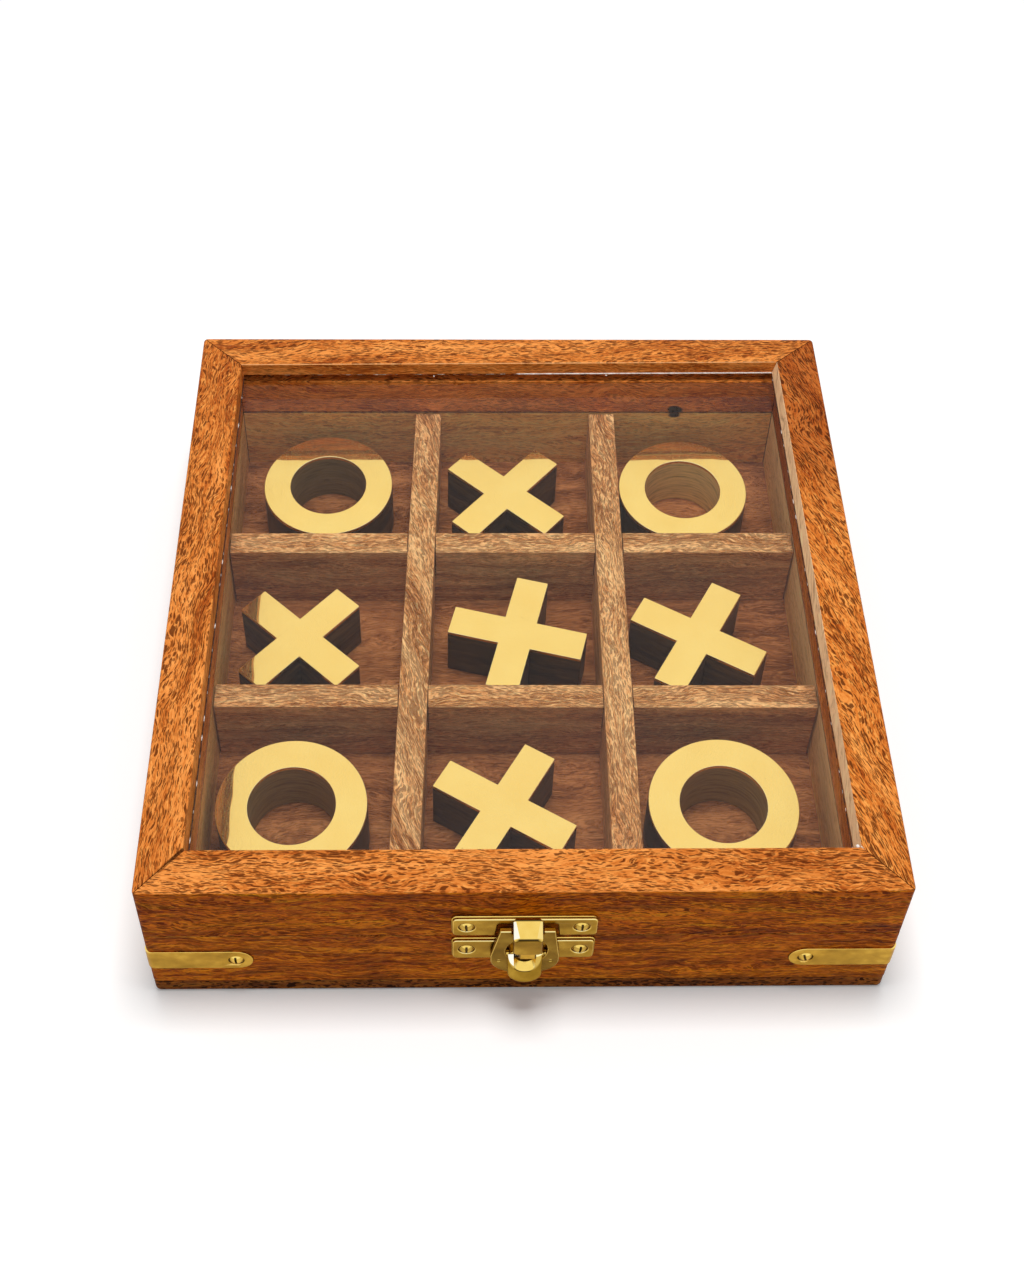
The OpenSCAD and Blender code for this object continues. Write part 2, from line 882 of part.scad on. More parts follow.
// The spring: its coil as a sleeve between the ears, with one leg up and one leg down
module latch_spring() {
    l = 2 * (ear_x - ear_gap);
    color(steel)
        at_latch()
            difference() {
                union() {
                    translate([-l / 2, pin_y, pin_out])
                        rotate([0, 90, 0])
                            cylinder(d = spring_d, h = l);
                    translate([spring_leg_x, pin_y, spring_leg_out])
                        rotate([-90, 0, 0])
                            cylinder(d = wire_d, h = bar_low - bar_gap - pin_y - wire_d);
                    translate([-spring_leg_x, pin_y - lever_plate_h / 2 + wire_d, spring_leg_out])
                        rotate([-90, 0, 0])
                            cylinder(d = wire_d, h = lever_plate_h / 2 - wire_d);
                }
                pin_bore(pin_l);
            }
}

// Hinges, drawn round the pin line with Y to the back

module at_hinge(x) {
    translate([x, hinge_y, hinge_z])
        children();
}

// The recess and screw holes for the lower leaf
module leaf_cuts() {
    w = hinge_l + 2 * leaf_play;
    translate([-w / 2, leaf_in - leaf_play, -seam_gap / 2 - leaf_t])
        cube([w, leaf_w + leaf_play + past, leaf_t + past]);
    at_leaf_screws()
        sunk_hole();
}

module at_leaf_screws() {
    for (x = hinge_screw_xs)
        translate([x, leaf_screw_y, -seam_gap / 2])
            children();
}

// A leaf below the pin line, with knuckles over the given stretches
module hinge_leaf(knuckles, gaps) {
    difference() {
        union() {
            translate([-hinge_l / 2, leaf_in, -seam_gap / 2 - leaf_t])
                cube([hinge_l, -leaf_in, leaf_t]);
            for (k = knuckles)
                translate([k[0], 0, 0])
                    rotate([0, 90, 0])
                        cylinder(d = knuckle_d, h = k[1] - k[0]);
        }
        // Room for the other leaf's knuckles
        for (g = gaps)
            translate([g[0], wood_in, -knuckle_d])
                cube([g[1] - g[0], 2 * knuckle_d, 2 * knuckle_d]);
        translate([-hinge_l, 0, 0])
            rotate([0, 90, 0])
                cylinder(d = hinge_pin_d + 2 * hinge_play, h = 2 * hinge_l);
        at_leaf_screws()
            sunk_hole();
    }
}

module hinge_base_leaf(x) {
    mid = knuckle_l / 2 + knuckle_gap;
    color(satin_brass)
        at_hinge(x)
            hinge_leaf([[-hinge_l / 2, -mid], [mid, hinge_l / 2]], [[-mid, mid]]);
}

module hinge_lid_leaf(x) {
    mid = knuckle_l / 2;
    color(satin_brass)
        at_hinge(x)
            mirror([0, 0, 1])
                hinge_leaf([[-mid, mid]], [[-hinge_l, -mid], [mid, hinge_l]]);
}

module hinge_pin(x) {
    color(satin_brass)
        at_hinge(x)
            rotate([0, 90, 0]) {
                l = hinge_l + 2 * hinge_play;
                translate([0, 0, -l / 2])
                    cylinder(d = hinge_pin_d, h = l);
                for (z = [-l / 2 - pin_head_t, l / 2])
                    translate([0, 0, z])
                        cylinder(d = pin_head_d, h = pin_head_t);
            }
}

module hinge_base_screws() {
    color(satin_brass)
        for (x = hinge_xs)
            at_hinge(x)
                at_leaf_screws()
                    sunk_screw(slot_angles[2]);
}

module hinge_lid_screws() {
    color(satin_brass)
        for (x = hinge_xs)
            at_hinge(x)
                mirror([0, 0, 1])
                    at_leaf_screws()
                        sunk_screw(slot_angles[3]);
}

bottom_panel();
base_front_wall();
base_back_wall();
base_side_wall(BACK_LEFT, FRONT_LEFT);  // base_left_wall
base_side_wall(FRONT_RIGHT, BACK_RIGHT);  // base_right_wall
long_divider(0);  // long_divider_left
long_divider(1);  // long_divider_right
cross_divider(0);  // cross_divider_front
cross_divider(1);  // cross_divider_back
ring_body(RING_BACK_LEFT);  // ring_back_left_body
ring_face(RING_BACK_LEFT);  // ring_back_left_face
ring_body(RING_BACK_RIGHT);  // ring_back_right_body
ring_face(RING_BACK_RIGHT);  // ring_back_right_face
ring_body(RING_FRONT_LEFT);  // ring_front_left_body
ring_face(RING_FRONT_LEFT);  // ring_front_left_face
ring_body(RING_FRONT_RIGHT);  // ring_front_right_body
ring_face(RING_FRONT_RIGHT);  // ring_front_right_face
cross_body(CROSS_BACK, ANGLE_BACK);  // cross_back_body
cross_face(CROSS_BACK, ANGLE_BACK);  // cross_back_face
cross_body(CROSS_LEFT, ANGLE_LEFT);  // cross_left_body
cross_face(CROSS_LEFT, ANGLE_LEFT);  // cross_left_face
cross_body(CROSS_CENTRE, ANGLE_CENTRE);  // cross_centre_body
cross_face(CROSS_CENTRE, ANGLE_CENTRE);  // cross_centre_face
cross_body(CROSS_RIGHT, ANGLE_RIGHT);  // cross_right_body
cross_face(CROSS_RIGHT, ANGLE_RIGHT);  // cross_right_face
cross_body(CROSS_FRONT, ANGLE_FRONT);  // cross_front_body
cross_face(CROSS_FRONT, ANGLE_FRONT);  // cross_front_face
lid_front_rail();
lid_back_rail();
lid_side_rail(BACK_LEFT, FRONT_LEFT);  // lid_left_rail
lid_side_rail(FRONT_RIGHT, BACK_RIGHT);  // lid_right_rail
glass_pane();
catch_plate();
catch_screws();
lever_plate();
lever_plate_screws();
latch_lever();
latch_pin();
latch_spring();
corner_strap(FRONT_LEFT);  // corner_strap_front_left
corner_strap(FRONT_RIGHT);  // corner_strap_front_right
corner_strap(BACK_LEFT);  // corner_strap_back_left
corner_strap(BACK_RIGHT);  // corner_strap_back_right
corner_screws();
hinge_base_leaf(hinge_xs[0]);  // hinge_left_base_leaf
hinge_lid_leaf(hinge_xs[0]);  // hinge_left_lid_leaf
hinge_pin(hinge_xs[0]);  // hinge_left_pin
hinge_base_leaf(hinge_xs[1]);  // hinge_right_base_leaf
hinge_lid_leaf(hinge_xs[1]);  // hinge_right_lid_leaf
hinge_pin(hinge_xs[1]);  // hinge_right_pin
hinge_base_screws();
hinge_lid_screws();
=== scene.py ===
from math import asin, copysign, cos, hypot, pi, radians, sin, sqrt, tan

import bmesh
import bpy
from mathutils import Matrix, Vector, noise
from mathutils.geometry import tessellate_polygon


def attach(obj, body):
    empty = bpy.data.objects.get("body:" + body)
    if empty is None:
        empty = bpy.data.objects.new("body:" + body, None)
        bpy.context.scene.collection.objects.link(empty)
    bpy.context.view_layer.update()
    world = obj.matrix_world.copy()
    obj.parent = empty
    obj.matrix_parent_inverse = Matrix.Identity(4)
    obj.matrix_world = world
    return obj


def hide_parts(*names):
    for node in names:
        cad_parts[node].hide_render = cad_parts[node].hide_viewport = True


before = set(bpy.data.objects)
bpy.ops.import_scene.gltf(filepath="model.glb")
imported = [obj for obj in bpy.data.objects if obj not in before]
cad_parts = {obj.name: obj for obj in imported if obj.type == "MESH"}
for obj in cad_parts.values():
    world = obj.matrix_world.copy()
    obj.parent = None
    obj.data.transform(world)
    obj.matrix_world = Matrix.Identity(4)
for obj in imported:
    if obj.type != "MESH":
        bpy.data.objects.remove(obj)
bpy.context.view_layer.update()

# Sizes, in millimetres, as in the part's source
W = D = 178.0
BASE_H, GAP, LID_H = 27.2, 0.3, 20.1
WALL, PANEL, CORNER = 10.5, 5.0, 1.2
LID_Z = BASE_H + GAP
TOP = LID_Z + LID_H
GLASS_Z, GLASS_T, BITE, PLAY = TOP - 7.4, 3.0, 3.0, 0.15
GLASS_TOP = GLASS_Z + GLASS_T
IN = W / 2 - WALL
RIM = BASE_H - 0.3
DIV, CROSS_DIV = 7.5, 7.0
# The dividers stand a little askew: (place at the middle, lean)
LONG = ((-26.1, 0.031), (26.7, 0.010))
CROSS = ((-21.7, -0.005), (29.3, 0.0))
# How wide each rail of the lid is above the glass, at its two ends
RAILS = {"front": (11.2, 11.2), "back": (10.75, 9.4), "left": (10.5, 11.55), "right": (10.9, 11.6)}
PIECE_TOP, BRASS = 22.0, 1.0
RING_IN, RING_OUT, CROSS_REACH, CROSS_HALF = 11, 19, 18.4, 4.4
# Each piece: its place, a cross's turn or how pale the bare wood is in a ring's bore, and the slopes of its face
RINGS = {
    "ring_back_left": (-52.501, 54.799, 0.22, (0.0, -0.11, 0.0)),
    "ring_back_right": (50.05, 53.104, 0.95, (0.0, -0.095, 0.0)),
    "ring_front_left": (-56.815, -50.891, 0.38, (-0.055, 0.0, 0.0)),
    "ring_front_right": (51.605, -50.891, 0.42, (0.01, 0.0, 0.0)),
}
CROSSES = {
    "cross_back": (-1.340, 51.882, 48.5, (0.0, -0.11, 0.0)),
    "cross_left": (-57.705, 0.605, 47.0, (-0.10, 0.0, 0.0)),
    "cross_centre": (0.995, 2.000, 75.5, (0, 0, 0)),
    "cross_right": (49.946, 0.915, 60.0, (0.06, 0.0, 0.0)),
    "cross_front": (-3.602, -51.157, 59.0, (0, 0, 0)),
}
# The latch: its middle, how far its plates lie aside, its screws, and the pin above the base's top
LATCH_X, SHIFT = 0.9, -0.8
SCREW_X = (-13.35, 13.35)
CATCH_V, CATCH_H, KEEPER_H = 2.4, 7.4, 8.4
PIN_V, PIN_O = -4.65, 2.05
# A wooden face further out than this from the middle is an outside one
OUTSIDE = W / 2 - 2.2


# ---- shapes

def unit(v):
    return v / v.length if v.length > 1e-12 else v


def corners(loop):
    """Each point of a closed 2-D loop, between the one before and the one after."""
    n = len(loop)
    return [[Vector(loop[(i + k) % n]) for k in (-1, 0, 1)] for i in range(n)]


def offset_loop(loop, d):
    """Moves a closed loop to its left by d, which is inwards on an anticlockwise one."""
    out = []
    for a, b, c in corners(loop):
        e1, e2 = unit(b - a), unit(c - b)
        n1, n2 = Vector((-e1.y, e1.x)), Vector((-e2.y, e2.x))
        k = max(1 + n1.dot(n2), 0.35)
        out.append(tuple(b + (n1 + n2) * (d / k)))
    return out


def fillet(points, radii, seg=4):
    """Rounds the corners of a closed loop, by one radius or one for each."""
    if not isinstance(radii, list):
        radii = [radii] * len(points)
    out = []
    for (a, b, c), r in zip(corners(points), radii):
        u, v = unit(a - b), unit(c - b)
        angle = u.angle(v, pi)
        if r <= 0 or angle > pi - 0.02:
            out.append(tuple(b))
            continue
        reach = min(r / tan(angle / 2), (a - b).length * 0.499, (c - b).length * 0.499)
        r = reach * tan(angle / 2)
        mid = b + unit(u + v) * (r / sin(angle / 2))
        p, q = b + u * reach - mid, b + v * reach - mid
        sweep = p.angle_signed(q)
        for k in range(seg + 1):
            t = -sweep * k / seg
            out.append((mid.x + p.x * cos(t) - p.y * sin(t), mid.y + p.x * sin(t) + p.y * cos(t)))
    return out


def circle(r, n, cx=0.0, cy=0.0):
    return [(cx + r * cos(2 * pi * i / n), cy + r * sin(2 * pi * i / n)) for i in range(n)]


def rect(x0, y0, x1, y1):
    return [(x0, y0), (x1, y0), (x1, y1), (x0, y1)]


class Shape:
    """Points in millimetres, each with a mark, and faces. Positive marks are wear on wood and painted highlights on
    brass; negative ones are dark joints, and painted shade in creases, gaps, seats and slots.
    """

    def __init__(self):
        self.points, self.worn, self.faces = [], [], []

    def ring(self, pts, worn=0.0):
        start = len(self.points)
        self.points += [Vector(p) for p in pts]
        self.worn += worn if isinstance(worn, list) else [worn] * len(pts)
        return range(start, start + len(pts))

    def bridge(self, a, b):
        for i in range(len(a)):
            j = (i + 1) % len(a)
            self.faces.append((a[i], a[j], b[j], b[i]))

    def cap(self, loops):
        flat = [i for loop in loops for i in loop]
        for tri in tessellate_polygon([[self.points[i] for i in loop] for loop in loops]):
            self.faces.append(tuple(flat[i] for i in tri))

    def slab(self, loops, z0, z1, r0=0.0, r1=0.0, seg=3, wear=1.0, foot=0.0):
        """A flat piece from its outline and holes, with rounded lower and upper edges. wear scales the marks of the
        roundings (wear on wood, painted highlight on brass, painted shade where negative), and foot is the mark of the
        lowest row.
        """
        arc = [(sin(k / seg * pi / 2), cos(k / seg * pi / 2), sin(k / seg * pi)) for k in range(seg + 1)]
        steps = [(r0 * (1 - s), z0 + r0 * (1 - c), w) for s, c, w in arc] if r0 > 0 else [(0, z0, 0)]
        steps += [(r1 * (1 - c), z1 - r1 * (1 - s), w) for s, c, w in arc] if r1 > 0 else [(0, z1, 0)]
        low, high = [], []
        for loop in loops:
            rows = []
            for off, z, w in steps:
                pts = offset_loop(loop, off) if off > 1e-9 else loop
                rows.append(self.ring([(x, y, z) for x, y in pts], w * wear if rows else foot))
            for a, b in zip(rows, rows[1:]):
                self.bridge(a, b)
            low.append(rows[0])
            high.append(rows[-1])
        self.cap(low)
        self.cap(high)
        return self

    def lathe(self, profile, n, closed=False, worn=None, centre=(0, 0)):
        """Turns a profile of (radius, z) round Z."""
        rings = []
        for (r, z), w in zip(profile, worn or [0.0] * len(profile)):
            rings.append(self.ring([(x, y, z) for x, y in (circle(r, n, *centre) if r >= 1e-9 else [centre])], w))
        for a, b in zip(rings, rings[1:] + rings[:closed]):
            if len(a) == len(b) == n:
                self.bridge(a, b)
            elif len(a) != len(b):
                tip, rim = (a, b) if len(a) == 1 else (b, a)
                self.faces += [(tip[0], rim[i], rim[(i + 1) % n]) for i in range(n)]
        return self

    def loft(self, rows, worn=None):
        """Joins closed loops of equal count and caps both ends."""
        made = [self.ring(row, worn[i] if worn else 0.0) for i, row in enumerate(rows)]
        for a, b in zip(made, made[1:]):
            self.bridge(a, b)
        self.cap([made[0]])
        self.cap([made[-1]])
        return self

    def tube(self, path, r):
        """A round wire along a path; r may be a list."""
        path = [Vector(p) for p in path]
        rs = r if isinstance(r, list) else [r] * len(path)
        n, rows, side = 6, [], None
        for i, p in enumerate(path):
            t = unit(path[min(i + 1, len(path) - 1)] - path[max(i - 1, 0)])
            if side is None:
                side = unit(t.orthogonal())
            side = unit(side - t * side.dot(t))
            other = t.cross(side)
            rows.append([p + (side * cos(2 * pi * k / n) + other * sin(2 * pi * k / n)) * rs[i] for k in range(n)])
        return self.loft(rows)

    def moved(self, fn):
        self.points = [Vector(fn(p)) for p in self.points]
        return self

    def join(self, other):
        start = len(self.points)
        self.points += [p.copy() for p in other.points]
        self.worn += other.worn
        self.faces += [tuple(i + start for i in f) for f in other.faces]
        return self

    def mesh(self, name):
        me = bpy.data.meshes.new(name)
        me.from_pydata([p * 0.001 for p in self.points], [], self.faces)
        mark(me, "worn", self.worn)
        bm = bmesh.new()
        bm.from_mesh(me)
        bmesh.ops.remove_doubles(bm, verts=bm.verts, dist=1e-7)
        bmesh.ops.dissolve_degenerate(bm, edges=bm.edges, dist=1e-8)
        bmesh.ops.recalc_face_normals(bm, faces=bm.faces)
        bm.to_mesh(me)
        bm.free()
        return me


def mark(me, name, values):
    """Stores a number, or a vector, for each point of a mesh."""
    single = isinstance(values[0], (int, float))
    layer = me.attributes.new(name, "FLOAT" if single else "FLOAT_VECTOR", "POINT")
    layer.data.foreach_set("value" if single else "vector", values if single else [c for v in values for c in v])


def paint_shade(me, test, value=-1.0):
    """Marks points of a mesh with a negative value, which the materials paint as shade."""
    for v, a in zip(me.vertices, me.attributes["worn"].data):
        if test(v.co * 1000.0):
            a.value = value
    return me


def shown(name, data):
    """Puts an object into the scene."""
    ob = bpy.data.objects.new(name, data)
    bpy.context.scene.collection.objects.link(ob)
    return ob


def cut(me, cutters):
    """Takes closed shapes out of a mesh."""
    work = [shown("work", me)]
    for i, c in enumerate(cutters):
        work.append(shown("work_tool", c.mesh("work_tool")))
        m = work[0].modifiers.new("cut%d" % i, "BOOLEAN")
        m.operation, m.object, m.solver = "DIFFERENCE", work[-1], "EXACT"
    done = bpy.data.meshes.new_from_object(work[0].evaluated_get(bpy.context.evaluated_depsgraph_get()))
    for o in work[::-1]:
        data = o.data
        bpy.data.objects.remove(o)
        bpy.data.meshes.remove(data)
    return done


def piece(name, source, material, body, replaces=(), grain=tuple, angle=30, cutters=(), raw=None, lean=None):
    """Makes a shown piece: from a shape or mesh, with its material, body, CAD nodes and grain."""
    me = source.mesh(name) if isinstance(source, Shape) else source
    if cutters:
        me = cut(me, cutters)
    me.name = name
    me.materials.clear()
    me.materials.append(material)
    ob = shown(name, me)
    me.polygons.foreach_set("use_smooth", [True] * len(me.polygons))
    me.set_sharp_from_angle(angle=radians(angle))
    m = ob.modifiers.new("flats", "WEIGHTED_NORMAL")
    m.weight, m.keep_sharp = 100, True
    spots = [(v.co * 1000.0, v.normal.z) for v in me.vertices]
    mark(me, "grain", [grain(p) for p, nz in spots])
    # Outside faces have a deeper tone, and the base's top rim some of it
    woody = "wood" in material.name
    outer = [1.0 if woody and max(abs(p.x), abs(p.y)) > OUTSIDE and (abs(nz) < 0.6 or PANEL + 0.5 < p.z < BASE_H - 0.4)
        else 0.6 if woody and abs(p.z - BASE_H) < 0.1 and nz > 0.7 else 0.0 for p, nz in spots]
    mark(me, "upward", [0.0 if o == 1.0 else max(nz, 0.0) ** 2 for (p, nz), o in zip(spots, outer)])
    mark(me, "outer", outer)
    if raw:
        mark(me, "raw", [raw(p) for p, nz in spots])
    if lean:
        mark(me, "lean", [lean] * len(spots))
    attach(ob, body)
    if replaces:
        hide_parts(*replaces)


# ---- materials

WHITE = (1, 1, 1)


class Nodes:
    """Short names for building the nodes of a material or of the world."""

    def __init__(self, owner, output="OutputMaterial"):
        owner.use_nodes = True
        self.owner, self.tree = owner, owner.node_tree
        self.tree.nodes.clear()
        self.out = self.new(output).inputs[0]

    def new(self, kind, **values):
        n = self.tree.nodes.new("ShaderNode" + kind)
        for k, v in values.items():
            setattr(n, k, v)
        return n

    def put(self, socket, value):
        if isinstance(value, bpy.types.NodeSocket):
            self.tree.links.new(value, socket)
        elif isinstance(value, tuple) and socket.type == "RGBA":
            socket.default_value = (*value, 1.0)
        else:
            socket.default_value = value

    def node(self, kind, inputs, **settings):
        """The outputs of a new node, with some of its inputs filled in."""
        n = self.new(kind, **settings)
        for key, v in inputs.items():
            self.put(n.inputs[key], v)
        return n.outputs

    def op(self, kind, *values, **settings):
        """The first output of a new node, with its first inputs filled in."""
        return self.node(kind, dict(enumerate(values)), **settings)[0]

    def math(self, op, *values, clamp=False): return self.op("Math", *values, operation=op, use_clamp=clamp)
    def add(self, a, b): return self.math("ADD", a, b)
    def swing(self, a, k): return self.mul(self.sub(a, 0.5), k)
    def mul(self, a, b): return self.math("MULTIPLY", a, b)
    def sub(self, a, b): return self.math("SUBTRACT", a, b)
    def most(self, a, b): return self.math("MAXIMUM", a, b)
    def vmath(self, op, *values): return self.op("VectorMath", *values, operation=op)
    def vadd(self, a, b): return self.vmath("ADD", a, b)
    def by(self, v, k): return self.vmath("MULTIPLY", v, (k, k, k) if isinstance(k, float) else k)

    def length(self, v): return self.node("VectorMath", {0: v}, operation="LENGTH")["Value"]

    def step(self, value, low, high, to_low=0.0, to_high=1.0, kind="SMOOTHSTEP"):
        return self.op("MapRange", value, low, high, to_low, to_high, interpolation_type=kind)

    def noise(self, vector, by=None, detail=2.0, rough=0.5, scale=1.0, colour=False):
        out = self.node("TexNoise", {
            "Vector": self.by(vector, by) if by else vector, "Scale": scale, "Detail": detail, "Roughness": rough})
        return out["Color" if colour else "Fac"]

    def sway(self, vector, by, detail, amount):
        """A slow wander by as much as amount each way."""
        centred = self.vmath("SUBTRACT", self.noise(vector, by, detail, colour=True), (0.5, 0.5, 0.5))
        return self.by(centred, amount)

    def cells(self, vector, by):
        out = self.node("TexVoronoi", {"Vector": self.by(vector, by), "Scale": 1.0}, feature="F1")
        return out["Distance"], out["Color"]

    def mix(self, fac, a, b, blend="MIX"):
        return self.node("Mix", {0: fac, 6: a, 7: b}, data_type="RGBA", blend_type=blend)[2]

    def times(self, a, b): return self.mix(1.0, a, b, "MULTIPLY")

    def ramp(self, fac, *stops):
        n = self.new("ValToRGB")
        self.put(n.inputs[0], fac)
        el = n.color_ramp.elements
        while len(el) < len(stops):
            el.new(0.5)
        for e, (p, c) in zip(el, stops):
            e.position, e.color = p, (*c, 1.0)
        return n.outputs[0]

    def attribute(self, name, out="Fac"):
        return self.new("Attribute", attribute_type="GEOMETRY", attribute_name=name).outputs[out]

    def grain(self): return self.attribute("grain", "Vector")

    def bump(self, height, distance):
        return self.node("Bump", {"Distance": distance, "Height": height})[0]

    def shader(self, **values):
        """Ends the material, and returns it."""
        self.put(self.out, self.node("BsdfPrincipled", {k.replace("_", " "): v for k, v in values.items()})[0])
        return self.owner


def material(name):
    return Nodes(bpy.data.materials.new(name))


def srgb(*colour):
    """A screen colour, 0 to 255, as a linear one."""
    return tuple(c / 255 / 12.92 if c / 255 <= 0.04045 else ((c / 255 + 0.055) / 1.055) ** 2.4 for c in colour)


def scaled(c, k):
    return tuple(min(v * k, 1.0) for v in c)


def wood(name, seed, dark, mid, light, pore, worn=None, raw=None, outer=(0.86, 0.52, 0.09), tint=(1.0, 0.45, 0.08),
         top=1.0, side=0.5, rough=0.46, wave=1.0, relief=0.00010, wear=1.0, dense=0.0, fleck=1.0, knots=(), stain=None):
    """Open-grained wood: tone bands, wavy fibres, short dark pores, worn edges, dark joints and painted shade, along
    the grain's own axes.

    Its colours are screen ones, but outer, tint and stain are linear. top and side say how strong the
    pores are on such faces, dense and fleck how many and how small they are."""
    dark, mid, light, pore = (srgb(*c) for c in (dark, mid, light, pore))
    t = material(name)
    plain = t.grain()
    g = t.vadd(plain, (seed * 37.0, seed * 11.0, seed * 23.0))

    def bend(v, by, amount, detail=1.0):
        return t.vadd(v, t.sway(g, by, detail, (0.0, amount * wave, amount * wave)))

    g1 = bend(g, (0.040, 0.085, 0.085), 9.0)
    g2 = bend(g1, (0.17, 0.40, 0.40), 1.9)
    g3 = bend(g2, (0.8, 1.7, 1.7), 0.30)
    band = t.noise(g1, (0.012, 0.19, 0.19), 3.0, 0.55)
    fibre = t.noise(g3, (0.12, 1.7, 1.7), 4.0, 0.65)
    fine = t.noise(g3, (0.5, 6.5, 6.5))
    tone = t.add(t.add(t.add(t.swing(band, 1.5), t.swing(fibre, 1.7)), t.swing(fine, 0.6)), 0.5)
    colour = t.ramp(tone, (0.10, dark), (0.48, mid), (0.88, light))
    outside = t.attribute("outer")
    amount = t.add(t.add(side, t.mul(t.attribute("upward"), top - side)), t.mul(outside, 0.3))
    where = t.add(t.swing(t.noise(g1, (0.03, 0.16, 0.16)), 0.40), dense)

    def dashes(by, size):
        """Short dark strokes along the grain, none touching the next."""
        near, pick = t.cells(g3, tuple(v * fleck for v in by))
        return t.step(t.sub(near, t.add(t.mul(pick, 0.16), t.add(where, size))), 0.05, -0.05)

    pores = t.mul(t.most(dashes((0.31, 2.4, 0.6), 0.275), t.mul(dashes((0.5, 3.3, 0.85), 0.25), 0.75)), amount)
    vein = t.step(t.noise(g3, (0.16, 2.6, 2.6)), 0.53, 0.68)
    colour = t.mix(t.mul(vein, 0.55), colour, scaled(light, 1.25))
    colour = t.mix(t.mul(pores, 0.88), colour, pore)
    streak = t.ramp(t.noise(g2, (0.035, 0.55, 0.55), 4.0, 0.62),
        (0.36, scaled(outer, 0.42)), (0.50, outer), (0.64, scaled(outer, 1.75)))
    colour = t.mix(outside, colour, t.times(colour, streak))
    if stain:
        # The wood is darker between two places along its grain, and after them
        low, high, shade = stain
        reach = t.add(t.op("SeparateXYZ", plain), t.swing(band, 60.0))
        colour = t.mix(t.step(reach, low, high), colour, t.times(colour, shade))
    for x, u, w, r in knots:
        gap = t.length(t.by(t.vmath("SUBTRACT", plain, (x, u, w)), (0.8, 1.0, 1.0)))
        near = t.add(gap, t.mul(fibre, 1.2))
        colour = t.mix(t.step(near, r + 1.1, r + 0.3), colour, (0.030, 0.018, 0.012))
    if raw:
        # Bare, unstained wood, and on the base's right inner wall a paler colour that paints the light falling there
        raw = srgb(*raw)
        bare = t.ramp(t.noise(g3, (0.10, 1.2, 1.2), 4.0, 0.6),
            (0.32, scaled(raw, 0.55)), (0.5, raw), (0.72, scaled(raw, 1.25)))
        colour = t.mix(t.attribute("raw"), colour, bare)
    edge = t.attribute("worn")
    if worn:
        rubbed = t.step(t.add(edge, t.noise(g, None, 5.0, 0.65, 0.5)), 1.30, 1.62)
        colour = t.mix(t.mul(rubbed, wear), colour, srgb(*worn))
    # Where the mark is negative: dark joints, and painted shade in creases, gaps and along the panel's edges
    joints_and_painted_shade = t.math("MULTIPLY", edge, -1.0, clamp=True)
    colour = t.mix(t.mul(joints_and_painted_shade, 0.85), colour, scaled(pore, 0.35))
    height = t.sub(t.add(t.mul(fibre, 0.45), t.mul(fine, 0.25)), t.mul(pores, 0.8))
    gloss = t.add(t.add(rough - 0.08, t.mul(fibre, 0.16)), t.mul(pores, 0.15))
    return t.shader(Base_Color=colour, Roughness=gloss, Normal=t.bump(height, relief), Specular_Tint=tint,
        Specular_IOR_Level=t.sub(0.22, t.mul(outside, 0.18)))


def polished_brass(name):
    """Mirror-bright brass with fine hairlines and a painted highlight on its rims, its faces leaning as they were
    buffed.
    """
    t = material(name)
    g = t.grain()
    dots, pick = t.cells(g, 0.30)
    dot = t.mul(t.step(dots, 0.055, 0.035), t.step(pick, 0.62, 0.66))
    hair = t.noise(g, (2.0, 14.0, 14.0), 2.0, 0.7)
    colour = t.ramp(t.noise(g, 0.09, 3.0), (0.3, (0.975, 0.665, 0.185)), (0.7, (1.0, 0.71, 0.215)))
    colour = t.mix(t.mul(dot, 0.5), colour, srgb(150, 100, 40))
    # Painted highlight: where the mark is high, on the rims' rounding, the brass is painted pale and made rougher
    rim = t.step(t.attribute("worn"), 0.3, 0.9)
    colour = t.mix(rim, colour, (1.0, 0.84, 0.42))
    rough = t.add(t.add(0.03, t.mul(rim, 0.18)), t.add(t.step(hair, 0.53, 0.60, 0.0, 0.42), t.mul(dot, 0.3)))
    tilt = t.vadd(t.sway(g, 0.10, 1.0, (0.04, 0.04, 0.0)), t.attribute("lean", "Vector"))
    level = t.step(t.attribute("upward"), 0.90, 0.98)
    tilt = t.by(tilt, t.op("CombineXYZ", level, level, level))
    normal = t.vmath("NORMALIZE", t.vadd(t.new("NewGeometry").outputs["Normal"], tilt))
    return t.shader(Base_Color=colour, Metallic=1.0, Roughness=rough, Normal=normal)


